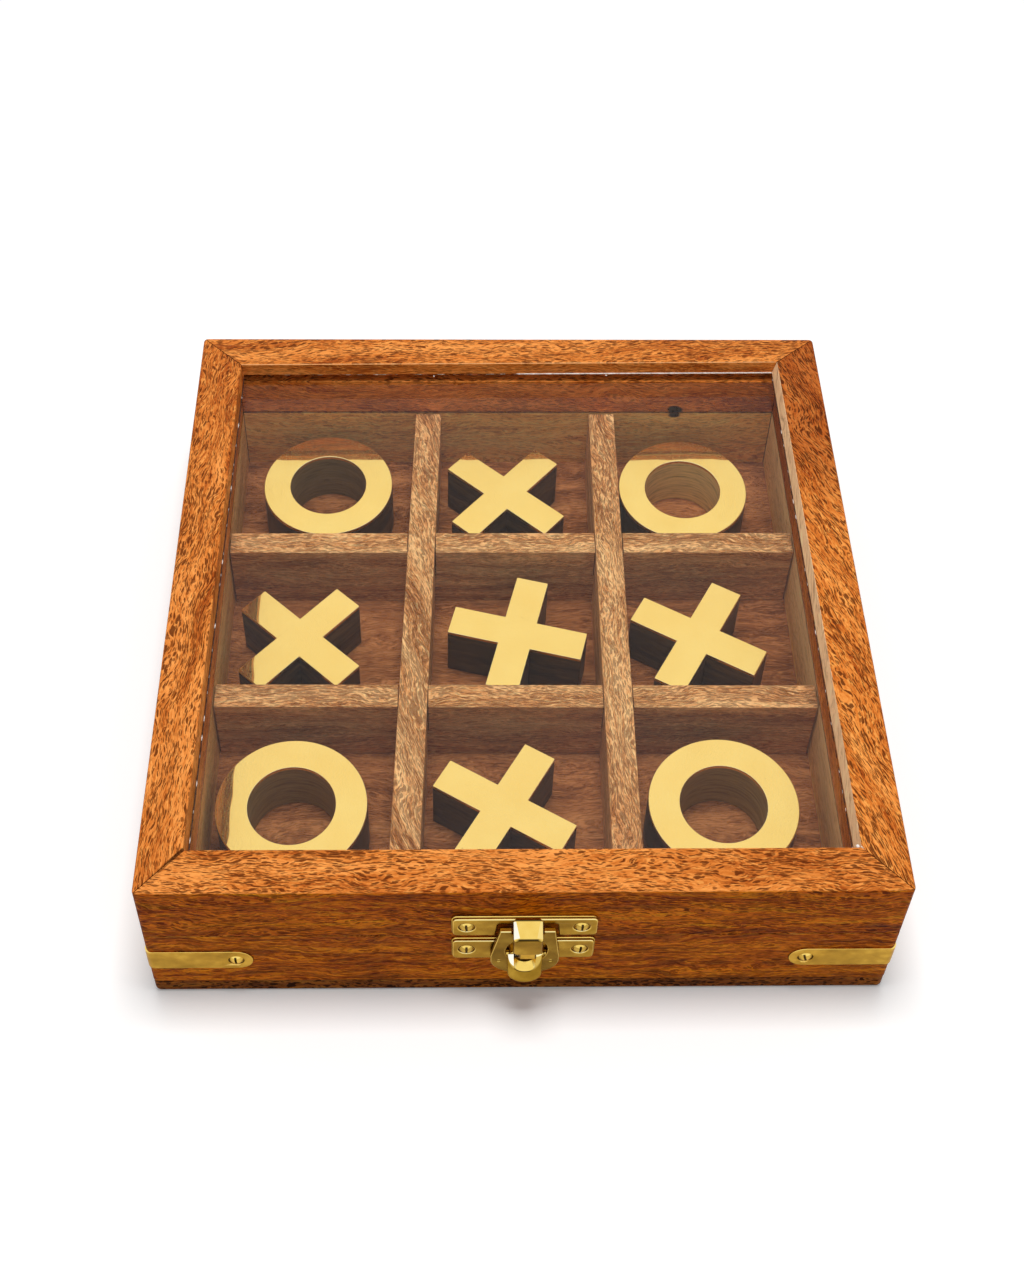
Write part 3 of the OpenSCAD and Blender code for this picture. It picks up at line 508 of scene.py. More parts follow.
def satin_brass(name, tint=1.0, rough=0.30):
    t = material(name)
    g = t.grain()
    cloud = t.noise(g, 0.35, 4.0)
    rub = t.noise(g, (0.5, 9.0, 9.0), 3.0)
    edge, up = t.attribute("worn"), t.attribute("upward")
    tone = t.add(t.mul(cloud, 0.45), t.mul(t.noise(g, (0.09, 0.16, 0.16)), 0.65))
    colour = t.ramp(tone, *((at, scaled(srgb(*c), tint)) for at, c in (
        (0.38, (150, 113, 32)), (0.55, (178, 137, 44)), (0.70, (208, 166, 62)))))
    # Painted highlight: faces that look up, and marked edges, are painted brighter, the upright ones stay duller
    painted_sheen = t.most(t.step(up, 0.24, 0.42), t.mul(t.most(edge, 0.0), 0.6))
    colour = t.mix(painted_sheen, colour, t.ramp(tone, (0.40, (0.88, 0.60, 0.130)), (0.65, (0.97, 0.70, 0.185))))
    # Painted highlights: pale on marked edges that look up, near white where the mark passes 1
    colour = t.mix(t.mul(t.step(edge, 0.62, 0.95), t.step(up, 0.2, 0.45)), colour, (1.0, 0.92, 0.50))
    colour = t.mix(t.step(edge, 1.0, 1.1), colour, (1.0, 0.96, 0.82))
    # Painted shade where the mark is negative
    colour = t.mix(t.math("MULTIPLY", edge, -0.97, clamp=True), colour, (0.03, 0.015, 0.004))
    gloss = t.add(rough - 0.08, t.add(t.mul(cloud, 0.10), t.mul(rub, 0.08)))
    return t.shader(Base_Color=colour, Metallic=1.0, Roughness=t.sub(gloss, t.mul(painted_sheen, 0.10)),
        Specular_Tint=(0.85, 0.72, 0.6), Normal=t.bump(t.add(rub, t.mul(cloud, 2.0)), 0.000012))


def clear_glass(name):
    """Clear, with a mirror that grows towards a grazing view, and faint smears."""
    t = material(name)
    f = t.node("LayerWeight", {"Blend": 0.5})["Facing"]
    f2 = t.mul(f, f)
    f5 = t.mul(t.mul(f2, f2), f)
    smear = t.noise(t.grain(), (0.012, 0.03, 0.03), 3.0)
    fac = t.add(t.add(0.008, t.mul(smear, 0.010)), t.mul(f5, 0.9))
    gloss = t.node("BsdfPrincipled", {
        "Base Color": WHITE, "Metallic": 1.0, "Roughness": t.add(0.01, t.mul(smear, 0.02))})[0]
    t.put(t.out, t.op("MixShader", fac, t.op("BsdfTransparent", (0.994, 0.997, 0.995)), gloss))
    return t.owner


def steel(name, colour, rough):
    t = material(name)
    rub = t.noise(t.grain(), 1.5, 4.0)
    return t.shader(Base_Color=t.ramp(rub, (0.3, scaled(colour, 0.75)), (0.7, colour)), Metallic=1.0,
        Roughness=t.add(rough - 0.1, t.mul(rub, 0.2)), Normal=t.bump(rub, 0.00001))


def putty(name, *colours):
    t = material(name)
    lumps = t.noise(t.grain(), 1.2, 5.0, 0.65)
    stops = [(at, srgb(*c)) for at, c in zip((0.35, 0.5, 0.65), colours)]
    return t.shader(Base_Color=t.ramp(lumps, *stops), Roughness=0.6, Normal=t.bump(lumps, 0.0001))


def cad_brass(name):
    """Brass for CAD nodes, which hold no grain of their own."""
    t = material(name)
    g = t.new("TexCoord").outputs["Object"]
    cloud = t.noise(g, None, 4.0, scale=350.0)
    rub = t.noise(g, (500.0, 6000.0, 6000.0), 3.0)
    colour = t.ramp(cloud, (0.30, srgb(150, 122, 60)), (0.52, srgb(178, 148, 76)), (0.74, srgb(198, 168, 90)))
    return t.shader(Base_Color=colour, Metallic=1.0, Roughness=t.add(0.30, t.mul(rub, 0.14)),
        Normal=t.bump(t.add(rub, cloud), 0.000012))


# Each wood's seed, and its dark, middle, light and pore colours. A knot's place is in its side's own grain
LID_TOP = wood("lid_wood", 1.0, (160, 74, 24), (213, 120, 48), (246, 157, 79), (88, 34, 9),
    worn=(240, 176, 116), side=0.6, outer=(1.0, 0.68, 0.070), knots=[(72.6, 99.9, 31.7, 1.7)])
LID_RED = wood("lid_wood_red", 2.0, (160, 72, 22), (220, 124, 48), (250, 164, 82), (84, 32, 8),
    worn=(246, 226, 200), side=0.6, raw=(255, 206, 158), stain=(256.0, 300.0, (0.60, 0.46, 0.40)))
# Its bare-wood colour, on the right inner wall, is painted light
BASE = wood("base_wood", 3.0, (196, 122, 56), (244, 176, 92), (255, 206, 124), (124, 68, 32),
    worn=(220, 170, 120), tint=(1.0, 0.5, 0.12), outer=(0.73, 0.315, 0.036), raw=(255, 204, 140),
    knots=[(438.6, 268.9, 109.2, 1.2)])
PANEL_WOOD = wood("panel_wood", 4.0, (100, 54, 26), (144, 86, 48), (180, 118, 70), (58, 28, 12),
    worn=(190, 140, 100), top=0.45, side=0.95, rough=0.5, outer=(1.0, 0.72, 0.2))
GRID = wood("grid_wood", 5.0, (156, 92, 44), (215, 149, 90), (248, 196, 134), (70, 32, 12),
    worn=(232, 188, 140), side=0.4, rough=0.5, wear=0.6, fleck=1.2, dense=0.10)
PIECE = wood("piece_wood", 6.0, (44, 30, 14), (74, 53, 29), (112, 82, 46), (28, 18, 8),
    raw=(228, 194, 122), rough=0.42, relief=0.00005, top=0.3, side=0.3, wave=0.6)
MIRROR = polished_brass("polished_brass")
SATIN = satin_brass("satin_brass")
# The latch's brass is a darker copy: painted shade standing for the dim surroundings its upright faces mirror. The
# lever's is darker still, partly tarnish and partly that painted shade
PLATE = satin_brass("latch_brass", 0.70, 0.24)
LEVER = satin_brass("lever_brass", 0.44, 0.28)
GLASS = clear_glass("glass")
STEEL = steel("steel", srgb(112, 102, 84), 0.4)
PUTTY = putty("putty", (70, 46, 30), (150, 124, 100), (216, 200, 182))
# Not putty: a dark bead that paints the thin line of shade along the glass's edge
SHADE_BEAD = putty("painted_shade_bead", (30, 14, 8), (52, 28, 16), (96, 66, 48))
WHITE_PUTTY = putty("white_putty", (206, 196, 186), (236, 230, 224), (250, 248, 244))
HINGE = cad_brass("hinge_brass_cad")


# ---- frames of wood

# The direction that each side runs in, from its left end to its right one
RUN = {"front": (1, 0), "back": (-1, 0), "left": (0, -1), "right": (0, 1)}


def to_side(side):
    """Takes a side's own axes (along it, inwards from its outer face, up) to the box's."""
    c, s = RUN[side]
    return lambda p: (c * p.x - s * (p.y - D / 2), s * p.x + c * (p.y - D / 2), p.z)


def grain_of(side, seed, slant=0.0):
    c, s = RUN[side]

    def fn(p):
        x, y = c * p.x + s * p.y, c * p.y - s * p.x + D / 2
        return (x + seed * 61.0, y + p.z + slant * x + seed * 29.0, seed * 13.0 + 0.2 * p.z)
    return fn


def section(points, radii, wears, seg=4):
    """A cross-section with rounded edges, and the mark of each point: wear and painted light, as in Shape."""
    worn = []
    for r, w in zip(radii, wears):
        worn += [sin(k / seg * pi) * w for k in range(seg + 1)] if r > 0 else [0.0]
    return fillet(points, radii, seg), worn


def mitred(points, radii, wears, seed, wide=None, marks=None):
    """One side of a mitred frame: x along it, y inwards from its outer face, z up.

    wide gives its width above the glass at each end and the width of the side that meets it there."""
    loop, worn = section(points, radii, wears)
    inner = offset_loop(loop, 0.09)
    half = W / 2
    end = [0.0, 0.13, 0.26, 0.55, 0.85, 1.25, 1.9, 3.2, 5.5]
    stations = sorted({-half + e for e in end} | {half - e for e in end} | {
        -half + 8 + i * (2 * half - 16) / 56 for i in range(57)})

    def bend(x, q, z):
        # Rounds the upright corner and lets the long lines wander a little
        cx, r = half - CORNER, CORNER
        dx, dq = abs(x) - cx, r - q
        if dx > 0 and dq > 0:
            m, n = max(dx, dq), hypot(dx, dq)
            dx, dq = dx * m / n, dq * m / n
            x, q = copysign(cx + dx, x), r - dq
        drift = Vector((x * 0.045 + seed * 9.1, q * 0.3, z * 0.3))
        fine = Vector((x * 0.35 + seed * 5.3, q * 0.6, z * 0.6))
        k = 0.05 * (noise.noise(drift) + 0.35 * noise.noise(fine))
        return Vector((x, q + k * 0.5, z + k * 0.6 - abs(k) * 0.6))

    def row(xs, pts, inset):
        out = []
        for q, z in pts:
            if wide and z > GLASS_Z + 1 and q > 8:
                w0, w1, o0, o1 = wide
                x = xs / half * (half - min(q, WALL) * (o0 if xs < 0 else o1) / WALL)
                q = q * (w0 + (w1 - w0) * (xs / half + 1) / 2) / WALL
            else:
                x = xs / half * (half - q)
            out.append(bend(copysign(max(abs(x) - inset, 0.0), x), q, z))
        return out

    rows, wear = [], []
    for xs in stations:
        last = abs(xs) == half
        rows.append(row(xs, inner if last else loop, 0.03 if last else 0.0))
        away = half - abs(xs)
        if away < 0.2:
            wear.append([-1.0] * len(loop))
        else:
            near = 0.6 * max(0.0, 1 - away / 1.3)
            wear.append([max(w, near) if w >= 0 and q < 1.3 else w for w, (q, z) in zip(worn, loop)])
        if marks:
            wear[-1] = [marks(xs, q, z, w) for w, (q, z) in zip(wear[-1], loop)]
    return Shape().loft(rows, wear)


def lid_section(side):
    g1, gq = GLASS_TOP + PLAY, WALL - BITE - PLAY
    # The left and right rails lean out to the glass
    foot = {"left": 0.45, "right": 0.9}.get(side, 0.0)
    inner = {"front": 0.3, "back": 1.25, "left": 0.3, "right": 0.9}[side]
    # Negative marks paint shade along the seam under the rail, under the glass and where the glass meets the rail; the
    # positive ones are wear
    return ([(0, LID_Z), (WALL, LID_Z), (WALL, GLASS_Z), (gq, GLASS_Z), (gq, g1), (WALL + foot, g1),
        (WALL, TOP), (8.3, TOP), (0, TOP)],
        [0.22, 0.3, 0.12, 0, 0, 0.12, 0.2 if side == "right" else 0.4, 0, 0.5],
        [0.3, -1.0, -0.8, 0, 0, -0.5, inner, 0, 0.55])


def rail_width(side, at):
    """The rail's width above the glass, at a place from the left or from the front."""
    a, b = RAILS[side]
    return a + (b - a) * (at / W + 0.5)


def corner_marks(side):
    """Glue showing in the front right mitre, and in the front left one a dark gap, which is painted shade."""
    right, left = {"front": (1, -1), "right": (-1, 0), "left": (0, 1)}.get(side, (0, 0))

    def fn(xs, q, z, w):
        away = W / 2 - abs(xs)
        if z < TOP - 0.5 or away > 0.6:
            return w
        if xs * right > 0 and q > 9.6 and away < 0.3:
            return 1.1
        return -1.0 if xs * left > 0 and q > 6.0 else w
    return fn


# Its marks: painted shade along the outer foot on the panel and along the inner top edge under the lid, wear on the
# outer top edge
BASE_SECTION = ([(0, PANEL), (WALL, PANEL), (WALL, BASE_H), (0, BASE_H)], [0.2, 0, 0.35, 0.25], [-0.9, 0, -1.0, 0.45])


# ---- straps and screws

ARC = CORNER * pi / 2
STRAP_Z = PANEL + (BASE_H - PANEL) / 2
STRAP_END = 25.4 - 0.3 - CORNER + ARC / 2
STRAP_HALF, STRAP_IN, STRAP_SCREW = 4.0, -0.7, 21.1
SCREW_R, SCREW_H, SCREW_SLOT, SCREW_DEEP = 1.7, 1.0, 0.5, 0.55
# How far the screws of the straps are turned
SCREW_TURNS = [82, 97, 64, 108, 90, 71, 115, 86]


def wrap(s, t, z, sx, sy):
    """A point s along the strap from the corner's middle, t out from the wood, at one of the corners."""
    c = -W / 2 + CORNER
    if s > ARC / 2:
        x, y = c + s - ARC / 2, -D / 2 - t
    elif s < -ARC / 2:
        x, y = -W / 2 - t, c - s - ARC / 2
    else:
        a = radians(-135 + s / (ARC / 2) * 45)
        x, y = c + (CORNER + t) * cos(a), c + (CORNER + t) * sin(a)
    return Vector((-sx * x, -sy * y, z))


def strap_shape(sx, sy, grow=0.0, t1=0.3, r=0.14):
    """A bent strap with half-round ends, as a loft along its length."""
    h, c = STRAP_HALF, STRAP_END - STRAP_HALF
    # Each edge point: how far in, how far out, and its mark, which paints a highlight along the rounded edge
    edge = [(0, STRAP_IN, 0), (0, t1 - r, 0.3 if r else 0)]
    if r:
        edge += [(r * (1 - cos(k / 3 * pi / 2)), t1 - r * (1 - sin(k / 3 * pi / 2)), 0.6 if k < 3 else 0.1)
            for k in range(1, 4)]
    # Each station: which end it is on, or 0, and the angle there, or the place along the strap
    turns = (0, 12, 25, 40, 55, 72)
    runs = [-c, -c * 0.66, -c * 0.33, -ARC] + [ARC / 2 * k / 5 for k in range(-5, 6)] + [ARC, c * 0.33, c * 0.66, c]
    rows, wear = [], []
    for end, v in [(-1, a) for a in turns] + [(0, s) for s in runs] + [(1, a) for a in turns[::-1]]:
        half = []
        for inset, t, w in edge:
            rr, a = h + grow - inset, radians(v)
            half.append((end * (c + rr * cos(a)), rr * sin(a), t, w) if end else (v, rr, t, w))
        loop = [(s, STRAP_Z + z, t, w) for s, z, t, w in half] + [(s, STRAP_Z - z, t, w) for s, z, t, w in half[::-1]]
        rows.append([wrap(s, t, z, sx, sy) for s, z, t, w in loop])
        wear.append([w for s, z, t, w in loop])
    return Shape().loft(rows, wear)


def screw_mesh():
    """A slotted domed screw, seated at z = 0, with painted shade in its slot and a painted highlight growing up its
    dome.
    """
    ball = (SCREW_R ** 2 + SCREW_H ** 2) / (2 * SCREW_H)
    rim = asin(SCREW_R / ball)
    profile = [(0, -6.8), (0.45, -5.6), (0.9, -5.0), (0.9, -0.0), (SCREW_R - 0.06, 0.0), (SCREW_R, 0.07)]
    worn = [0] * 6
    for k in range(1, 13):
        a = rim * (1 - k / 12)
        profile.append((ball * sin(a), SCREW_H - ball + ball * cos(a)))
        worn.append(0.35 + 0.5 * (k / 12))
    body = Shape().lathe(profile, 48, worn=worn)
    knife = Shape().slab([rect(-3, -SCREW_SLOT / 2, 3, SCREW_SLOT / 2)], SCREW_H - SCREW_DEEP, SCREW_H + 1)
    return paint_shade(cut(body.mesh("screw"), [knife]),
        lambda p: abs(p.y) < 0.26 and 0.3 < p.z < 0.9 and hypot(p.x, p.y) < 1.66)


def screws(name, matrices, material, body, node):
    """Screws of one kind, each where its matrix puts it, in millimetres."""
    bm = bmesh.new()
    screw = screw_mesh()
    for m in matrices:
        part = screw.copy()
        m.translation = m.translation * 0.001
        part.transform(m)
        bm.from_mesh(part)
        bpy.data.meshes.remove(part)
    out = bpy.data.meshes.new("placed")
    bmesh.ops.recalc_face_normals(bm, faces=bm.faces)
    bm.to_mesh(out)
    bm.free()
    piece(name, out, material, body, [node])


def facing(at, out, turn):
    """A matrix that stands a screw at a point, its head towards out, its slot turned."""
    z = Vector(out)
    x = unit(Vector((0, 0, 1)).cross(z))
    m = Matrix((x, z.cross(x), z)).transposed().to_4x4() @ Matrix.Rotation(radians(turn), 4, "Z")
    m.translation = Vector(at)
    return m


def make_straps():
    spots = []
    for i, (sx, sy, name) in enumerate((
            (-1, -1, "front_left"), (1, -1, "front_right"), (1, 1, "back_right"), (-1, 1, "back_left"))):
        places = [Vector((sx * (W / 2 - STRAP_SCREW), sy * D / 2, STRAP_Z)),
            Vector((sx * W / 2, sy * (D / 2 - STRAP_SCREW), STRAP_Z))]
        dimples = []
        for at, out in zip(places, (Vector((0, sy, 0)), Vector((sx, 0, 0)))):
            m = facing(at + out * 0.3, out, 0)
            dimple = Shape().lathe([(0, -0.3), (1.8, -0.3), (1.95, -0.3 + 0.15), (1.95, 1.0), (0, 1.0)], 40)
            dimples.append(dimple.moved(lambda p: m @ p))
            spots.append(facing(at, out, SCREW_TURNS[(2 * i + len(dimples)) % 8]))
        # Painted shade round each screw's seat in the strap
        me = paint_shade(cut(strap_shape(sx, sy).mesh("strap"), dimples), lambda p: max(
            abs(p.x) - W / 2, abs(p.y) - D / 2) < 0.2 and min((p - at).length for at in places) < 2.05, -0.9)
        piece("strap_%s" % name, me, SATIN, "base", ["corner_strap_%s" % name],
            grain=lambda p: (p.x + p.y + 40 * i, p.z, 0.0))
    screws("strap_screws", spots, SATIN, "base", "corner_screws")


# ---- the lid and the base

def make_lid():
    # For each side: the rails that it meets and their ends there, and the slant of its grain
    meets = {
        "front": ("left", 0, "right", 0, 0.04), "back": ("right", 1, "left", 1, -0.06),
        "left": ("back", 0, "front", 0, 0.10), "right": ("front", 1, "back", 1, -0.34),
    }
    bare = lambda p: float(p.x < W / 2 - rail_width("right", p.y) + 0.05 and p.z > GLASS_TOP + 0.1)
    for i, (side, (a, m, b, n, slant)) in enumerate(meets.items()):
        right = side == "right"
        own = RAILS[side] if side in ("front", "right") else RAILS[side][::-1]
        shape = mitred(*lid_section(side), i + 1.0, wide=(*own, RAILS[a][m], RAILS[b][n]), marks=corner_marks(side))
        piece("lid_%s" % side, shape.moved(to_side(side)), LID_RED if right else LID_TOP, "lid",
            ["lid_%s_rail" % side], grain=grain_of(side, i + 1.0, slant), raw=bare if right else None)
    reach = IN + BITE
    piece("glass", Shape().slab([rect(-reach, -reach, reach, reach)], GLASS_Z, GLASS_TOP, 0.1, 0.1, 1),
        GLASS, "lid", ["glass_pane"])


def bead(name, a, b, r, seed, gaps, colour):
    """An uneven bead between two points, left out in places as putty that has come away; in the dark colour it is a
    line of painted shade.
    """
    n = int((b - a).length / 0.8)
    out, run, rs = Shape(), [], []
    for i in range(n + 1):
        p = a.lerp(b, i / n)
        k = noise.noise(Vector((i * 0.31, seed, 0.0))) + 0.5 * noise.noise(Vector((i * 1.1, seed, 4.0)))
        if k > gaps:
            run.append(p + Vector((noise.noise(p + Vector((0, 0, seed))), noise.noise(p * 1.3), 0)) * 0.05)
            rs.append(r * (0.7 + 0.5 * abs(noise.noise(p * 2.7))))
        if (k <= gaps or i == n) and run:
            if len(run) > 1:
                rs[0] = rs[-1] = r * 0.3
                out.join(Shape().tube(run, rs))
            run, rs = [], []
    piece(name, out, colour, "lid")


def make_putty():
    z = GLASS_TOP + 0.04
    back = lambda x: Vector((x, D / 2 - rail_width("back", x) - 0.06, z))
    left = lambda y: Vector((rail_width("left", y) + 0.68 - W / 2, y, z))
    right = lambda y: Vector((W / 2 - rail_width("right", y) - 1.12, y, z))
    # Each bead: where it runs, from and to, how high, its radius, seed and gaps
    for name, line, start, end, up, r, seed, gaps, colour in (
            ("back", back, 2.0, 77.0, 0.06, 0.24, 3.0, -0.55, WHITE_PUTTY),
            ("back_left", back, -76.5, 2.0, 0.0, 0.15, 8.0, 0.02, PUTTY),
            # The dark left and right beads paint the line of shade where the glass meets the rail; the flecks are putty
            ("left", left, -77.0, 77.6, 0.0, 0.20, 5.0, -1.0, SHADE_BEAD),
            ("left_flecks", left, -77.0, 77.6, 0.12, 0.17, 2.0, 0.10, WHITE_PUTTY),
            ("right", right, -77.0, 78.4, 0.0, 0.18, 9.0, -0.4, SHADE_BEAD),
            ("right_flecks", right, -77.0, 78.4, 0.12, 0.15, 7.0, 0.12, WHITE_PUTTY)):
        lift = Vector((0, 0, up))
        bead("glass_bead_" + name, line(start) + lift, line(end) + lift, r, seed, gaps, colour)
    # Drops of glue: the first on the front right mitre, the rest on the glass
    drops = Shape()
    for i, (x, y, h, r) in enumerate((
            (77.35, -77.3, TOP - 0.5, 0.42), (76.6, -77.6, z, 0.3), (28.0, 78.4, z, 0.25), (-22.0, 78.0, z, 0.2))):
        ball = Shape().lathe([(sin(pi * k / 8) * r, -cos(pi * k / 8) * r * 0.5) for k in range(9)], 14)
        drops.join(ball.moved(lambda p: (
            p.x * (1 + 0.3 * noise.noise(p * 2 + Vector((i, 0, 0)))) + x, p.y + y, p.z + h)))
    piece("glue_drops", drops, WHITE_PUTTY, "lid")


def make_base():
    # Painted light: the right wall's inner face is painted paler where the light falls on it
    pale = lambda p: float(p.x < IN + 0.05 and p.z > PANEL + 0.3)
    for i, (side, (c, s)) in enumerate(RUN.items()):
        shape = mitred(*BASE_SECTION, i + 7.0).moved(to_side(side))
        cutters = [strap_shape(sx, sy, 0.14, 2.0, 0.0) for sx in (-1, 1) for sy in (-1, 1) if s * sx - c * sy == 1]
        piece("base_%s" % side, shape, BASE, "base", ["base_%s_wall" % side], grain=grain_of(side, i + 7.0),
            cutters=cutters, raw=pale if side == "right" else None)
    outline = fillet(rect(-W / 2, -D / 2, W / 2, D / 2), 1.5, 6)
    # A negative wear darkens its rounded edges: painted shade along the floor and under the walls
    piece("panel", Shape().slab([outline], 0.0, PANEL, 0.8, 0.15, 4, -0.5), PANEL_WOOD, "base", ["bottom_panel"])
    half, l = PANEL + (RIM - PANEL) / 2, IN - 0.4
    for i, (name, (mid, lean)) in enumerate(zip(("left", "right"), LONG)):
        w = DIV / 2
        loop = [(-l, PANEL)]
        for y, askew in CROSS:
            loop += [(y - w, PANEL), (y - w, half + 0.1), (y + w, half + 0.1), (y + w, PANEL)]
        loop += [(l, PANEL), (l, RIM), (-l, RIM)]
        shape = Shape().slab([loop], -w, w, 0.28, 0.28, 3, 0.8)
        piece("long_%s" % name, shape.moved(lambda p: (p.z + mid + lean * p.x, p.x, p.y)), GRID, "base",
            ["long_divider_%s" % name],
            grain=lambda p: (p.y + 300 * i, p.x + p.z + (0.28 - 0.20 * i) * p.y, p.z))
    for i, (name, (y, lean)) in enumerate(zip(("front", "back"), CROSS)):
        w = DIV / 2 + 0.22
        loop = [(-l, PANEL), (l, PANEL), (l, RIM)]
        for at, askew in LONG[::-1]:
            x = at + askew * y
            loop += [(x + w, RIM), (x + w, half), (x - w, half), (x - w, RIM)]
        shape = Shape().slab([loop + [(-l, RIM)]], -y - CROSS_DIV / 2, -y + CROSS_DIV / 2, 0.28, 0.28, 3, 0.8)
        piece("cross_%s_divider" % name, shape.moved(lambda p: (p.x, lean * p.x - p.z, p.y)), GRID, "base",
            ["cross_divider_%s" % name], grain=lambda p: (p.x + 700 + 300 * i, p.y + p.z, p.z))


# ---- the nine pieces

def round_profile(r_in, r_out, z0, z1, e_low, e_top, seg=3):
    """A ring's section with rounded rims, whose marks give the painted highlight along them."""
    pts, worn = [], []
    for r, z, e, a0 in ((r_in, z0, e_low, 180), (r_out, z0, e_low, 270), (r_out, z1, e_top, 0), (r_in, z1, e_top, 90)):
        cr = r + (e if a0 in (180, 90) else -e)
        cz = z + (e if a0 in (180, 270) else -e)
        for k in range(seg + 1):
            a = radians(a0 + 90 * k / seg)
            pts.append((cr + e * cos(a), cz + e * sin(a)))
            worn.append(sin(k / seg * pi))
    return pts, worn


def game_piece(name, i, body, face, lean, grain, raw=None):
    """A wooden body and its brass face."""
    piece(name, body, PIECE, name, [name + "_body"], grain=lambda p: (p.x + 90 * i, p.z * 1.3, p.y * 0.08), raw=raw)
    piece(name + "_brass", face, MIRROR, name, [name + "_face"], grain=grain, lean=lean)


def make_pieces():
    split = PIECE_TOP - BRASS
    for i, (name, (x, y, bore, lean)) in enumerate(RINGS.items()):
        # The back two are a little smaller
        inner, outer = (RING_IN - 0.2, RING_OUT - 0.5) if "back" in name else (RING_IN, RING_OUT)

        def turned(n, *sizes):
            pts, worn = round_profile(inner, outer, *sizes)
            return Shape().lathe(pts, n, True, worn, (x, y))

        game_piece(name, i, turned(128, PANEL, split, 0.3, 0.08), turned(160, split, PIECE_TOP, 0.05, 0.22, 4), lean,
            lambda p: (p.x + 90 * i, p.y, p.z),
            lambda p: bore if hypot(p.x - x, p.y - y) < RING_IN + 0.2 else 0.0)
    l, w = CROSS_REACH, CROSS_HALF
    loop = fillet([(-l, -w), (-w, -w), (-w, -l), (w, -l), (w, -w), (l, -w), (l, w), (w, w), (w, l), (-w, l), (-w, w),
        (-l, w)], [0.25, 0.1, 0.25] * 4, 3)
    for i, (name, (x, y, a, lean)) in enumerate(CROSSES.items()):
        turn, at = Matrix.Rotation(radians(a), 4, "Z"), Vector((x, y, 0))
        back = turn.inverted()
        flat = lambda *sizes: Shape().slab([loop], *sizes, 3).moved(lambda p: turn @ p + at)
        game_piece(name, i, flat(PANEL, split, 0.3, 0.08), flat(split, PIECE_TOP, 0.05, 0.14), lean,
            lambda p: back @ (p - at) + Vector((90.0 * i, 50, 7)))


# ---- the latch

def latch(p):
    """From the latch's own axes (across, up, out) to the box's."""
    return (LATCH_X + p[0], -D / 2 - p[2], BASE_H + p[1])


def from_side(p):
    """The same for a shape drawn from its side, as (out, up, across)."""
    return latch((p.z, p.y, p.x))


def at_pin(p):
    """The same for a shape drawn across the latch, about its pin."""
    return latch((p.x, PIN_V + p.y, PIN_O + p.z))


def latch_plate(y, high, notch):
    """A plate of two layers, a little to the left of the bill, and a seat for each screw; painted shade round the seats
    and along each layer's back edge, painted highlights on the rounded edges.
    """
    out, dx = Shape(), SHIFT
    for grow, o0, o1, r in ((0.3, 0.0, 0.6, 0.26), (0.0, 0.6, 1.2, 0.32)):
        w, k, big = 16.6 + grow, high / 2 + grow, 1.1 + grow
        loop, radii = rect(dx - w, y - k, dx + w, y + k), big
        if notch:
            # The room for the lever's bar widens downwards
            top, mouth, more = CATCH_V + CATCH_H - 2.0, y - k, 0.0 if grow else 0.4
            half = 7.0 + 0.4 * (top - mouth) / (top - mouth)
            loop = [(dx - w, mouth), (-half, mouth), (-7.0, top), (7.0, top), (half, mouth),
                (dx + w + more, mouth), (dx + w + more, y + k), (dx - w, y + k)]
            radii = [big, 0.3, 0.7, 0.7, 0.3, big, big, big]
        holes = [] if grow else [circle(1.95, 40, x + dx, y)[::-1] for x in SCREW_X]
        out.slab([fillet(loop, radii, 5)] + holes, o0, o1, 0.0, r, 3, 0.4 if grow else 1.0, foot=-0.9)
    for x in SCREW_X:
        out.lathe([(0, 0.55), (2.15, 0.55), (2.15, 0.85), (1.9, 0.87), (1.6, 0.9), (0, 0.9)], 40,
            worn=[0, -1, -1, -0.9, 0, 0], centre=(x + dx, y))
    return out


def latch_screws(name, y, turns, body, node):
    screws(name, [facing(latch((x + SHIFT, y, 0.9)), (0, -1, 0), t) for x, t in zip(SCREW_X, turns)], PLATE, body, node)


